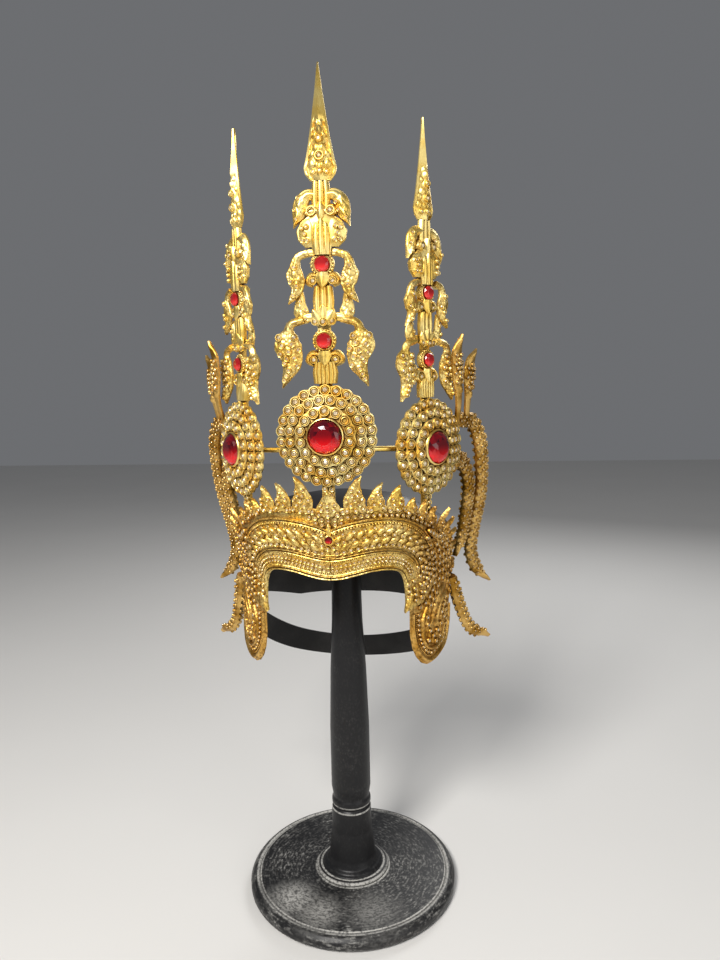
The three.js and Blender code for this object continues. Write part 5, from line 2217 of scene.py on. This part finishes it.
@dataclass
class Studio(SubAssembly):
    """Pale floor, soft lights and the camera.

    A lamp has its name, place, side, power in watts and warmth; all of them look at the aim.
    """

    eye: Row = (0.0933, -0.7089, 0.530)
    look: Row = (-0.1070, 0.9850, -0.1352)
    top: Row = (0.0062, 0.1366, 0.9906)
    lens: float = 27.0
    sensor: float = 36.0
    near: float = 0.05
    lamps: tuple[tuple[str, Row, float, float, float], ...] = (
        ("key_lamp", (-0.42, -1.2, 1.42), 0.5, 35.0, 0.2),
        ("fill_lamp", (1.2, -1.0, 0.7), 1.0, 6.0, 0.1),
        ("rim_lamp", (0.5, 1.3, 1.3), 0.8, 10.0, 0.0),
    )
    aim: Row = (0.0, 0.0, 0.5)
    air: Colour = (0.36, 0.37, 0.39)
    air_power: float = 0.42
    floor_half: float = 4000.0

    @staticmethod
    def aimed(at: Sequence[float], back: Array, up: Array) -> Matrix:
        """Place of a camera or lamp that looks away from back.

        Args:
            at: its place.
            back: direction away from what it looks at.
            up: upward direction.

        Returns:
            The matrix.
        """
        side = unit(np.cross(up, back))
        over = np.cross(back, side)
        return Matrix([[side[i], over[i], back[i], at[i]] for i in range(3)] + [[0, 0, 0, 1]])

    def camera(self) -> None:
        """Stand the camera at the photograph's angle."""
        data = bpy.data.cameras.new("studio_camera")
        data.lens, data.sensor_width, data.clip_start = self.lens, self.sensor, self.near
        camera = bpy.data.objects.new("studio_camera", data)
        bpy.context.scene.collection.objects.link(camera)
        camera.matrix_world = self.aimed(self.eye, -unit(np.array(self.look)), np.array(self.top))
        bpy.context.scene.camera = camera

    def lamp(self, name: str, at: Sequence[float], size: float, power: float, warm: float) -> None:
        """Hang one soft square lamp that lights the crown.

        Args:
            name: its name.
            at: its place in metres.
            size: its side.
            power: its power in watts.
            warm: from 0, neutral, to 1, warm.
        """
        data = bpy.data.lights.new(name, "AREA")
        data.shape, data.size, data.energy = "SQUARE", size, power
        data.color = (1.0, 1.0 - 0.12 * warm, 1.0 - 0.3 * warm)
        lamp = bpy.data.objects.new(name, data)
        bpy.context.scene.collection.objects.link(lamp)
        back = unit(np.array(at, float) - np.array(self.aim))
        lamp.matrix_world = self.aimed(at, back, np.eye(3)[2])

    def build(self) -> None:
        """Make the floor, the air, the lamps and the camera."""
        floor, k = Lump(), self.floor_half
        floor.add(np.array([[-k, -k, 0], [k, -k, 0], [k, k, 0], [-k, k, 0]]), np.array([[0, 1, 2, 3]]))
        floor.mesh("studio_floor", self.paints.paper, None)
        world = bpy.data.worlds.new("studio_air")
        world.use_nodes = True
        sky = world.node_tree.nodes["Background"].inputs
        sky[0].default_value, sky[1].default_value = paint(self.air), self.air_power
        bpy.context.scene.world = world
        for lamp in self.lamps:
            self.lamp(*lamp)
        bpy.context.scene.view_settings.view_transform = "Standard"
        self.camera()


def corners(box: tuple[Any, Any]) -> list[list[float]]:
    """Box as plain lists."""
    return [[float(value) for value in corner] for corner in box]


def main() -> None:
    """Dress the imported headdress, piece by piece."""
    logging.basicConfig(level=logging.INFO, format="%(name)s: %(message)s")
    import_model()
    paints = Paints()
    Studio(paints).build()
    BlackLining(paints).build()
    Stand().build()
    BrowBand(paints).build()
    Crest(paints).build()
    EarFlap(paints).build()
    SideStalks(paints).build()
    Rods(paints).build()
    for place in (CENTRE, RIGHT, LEFT):
        Rosette(paints).build(place)
        Spire(paints).build(place)


if __name__ == "__main__":
    main()
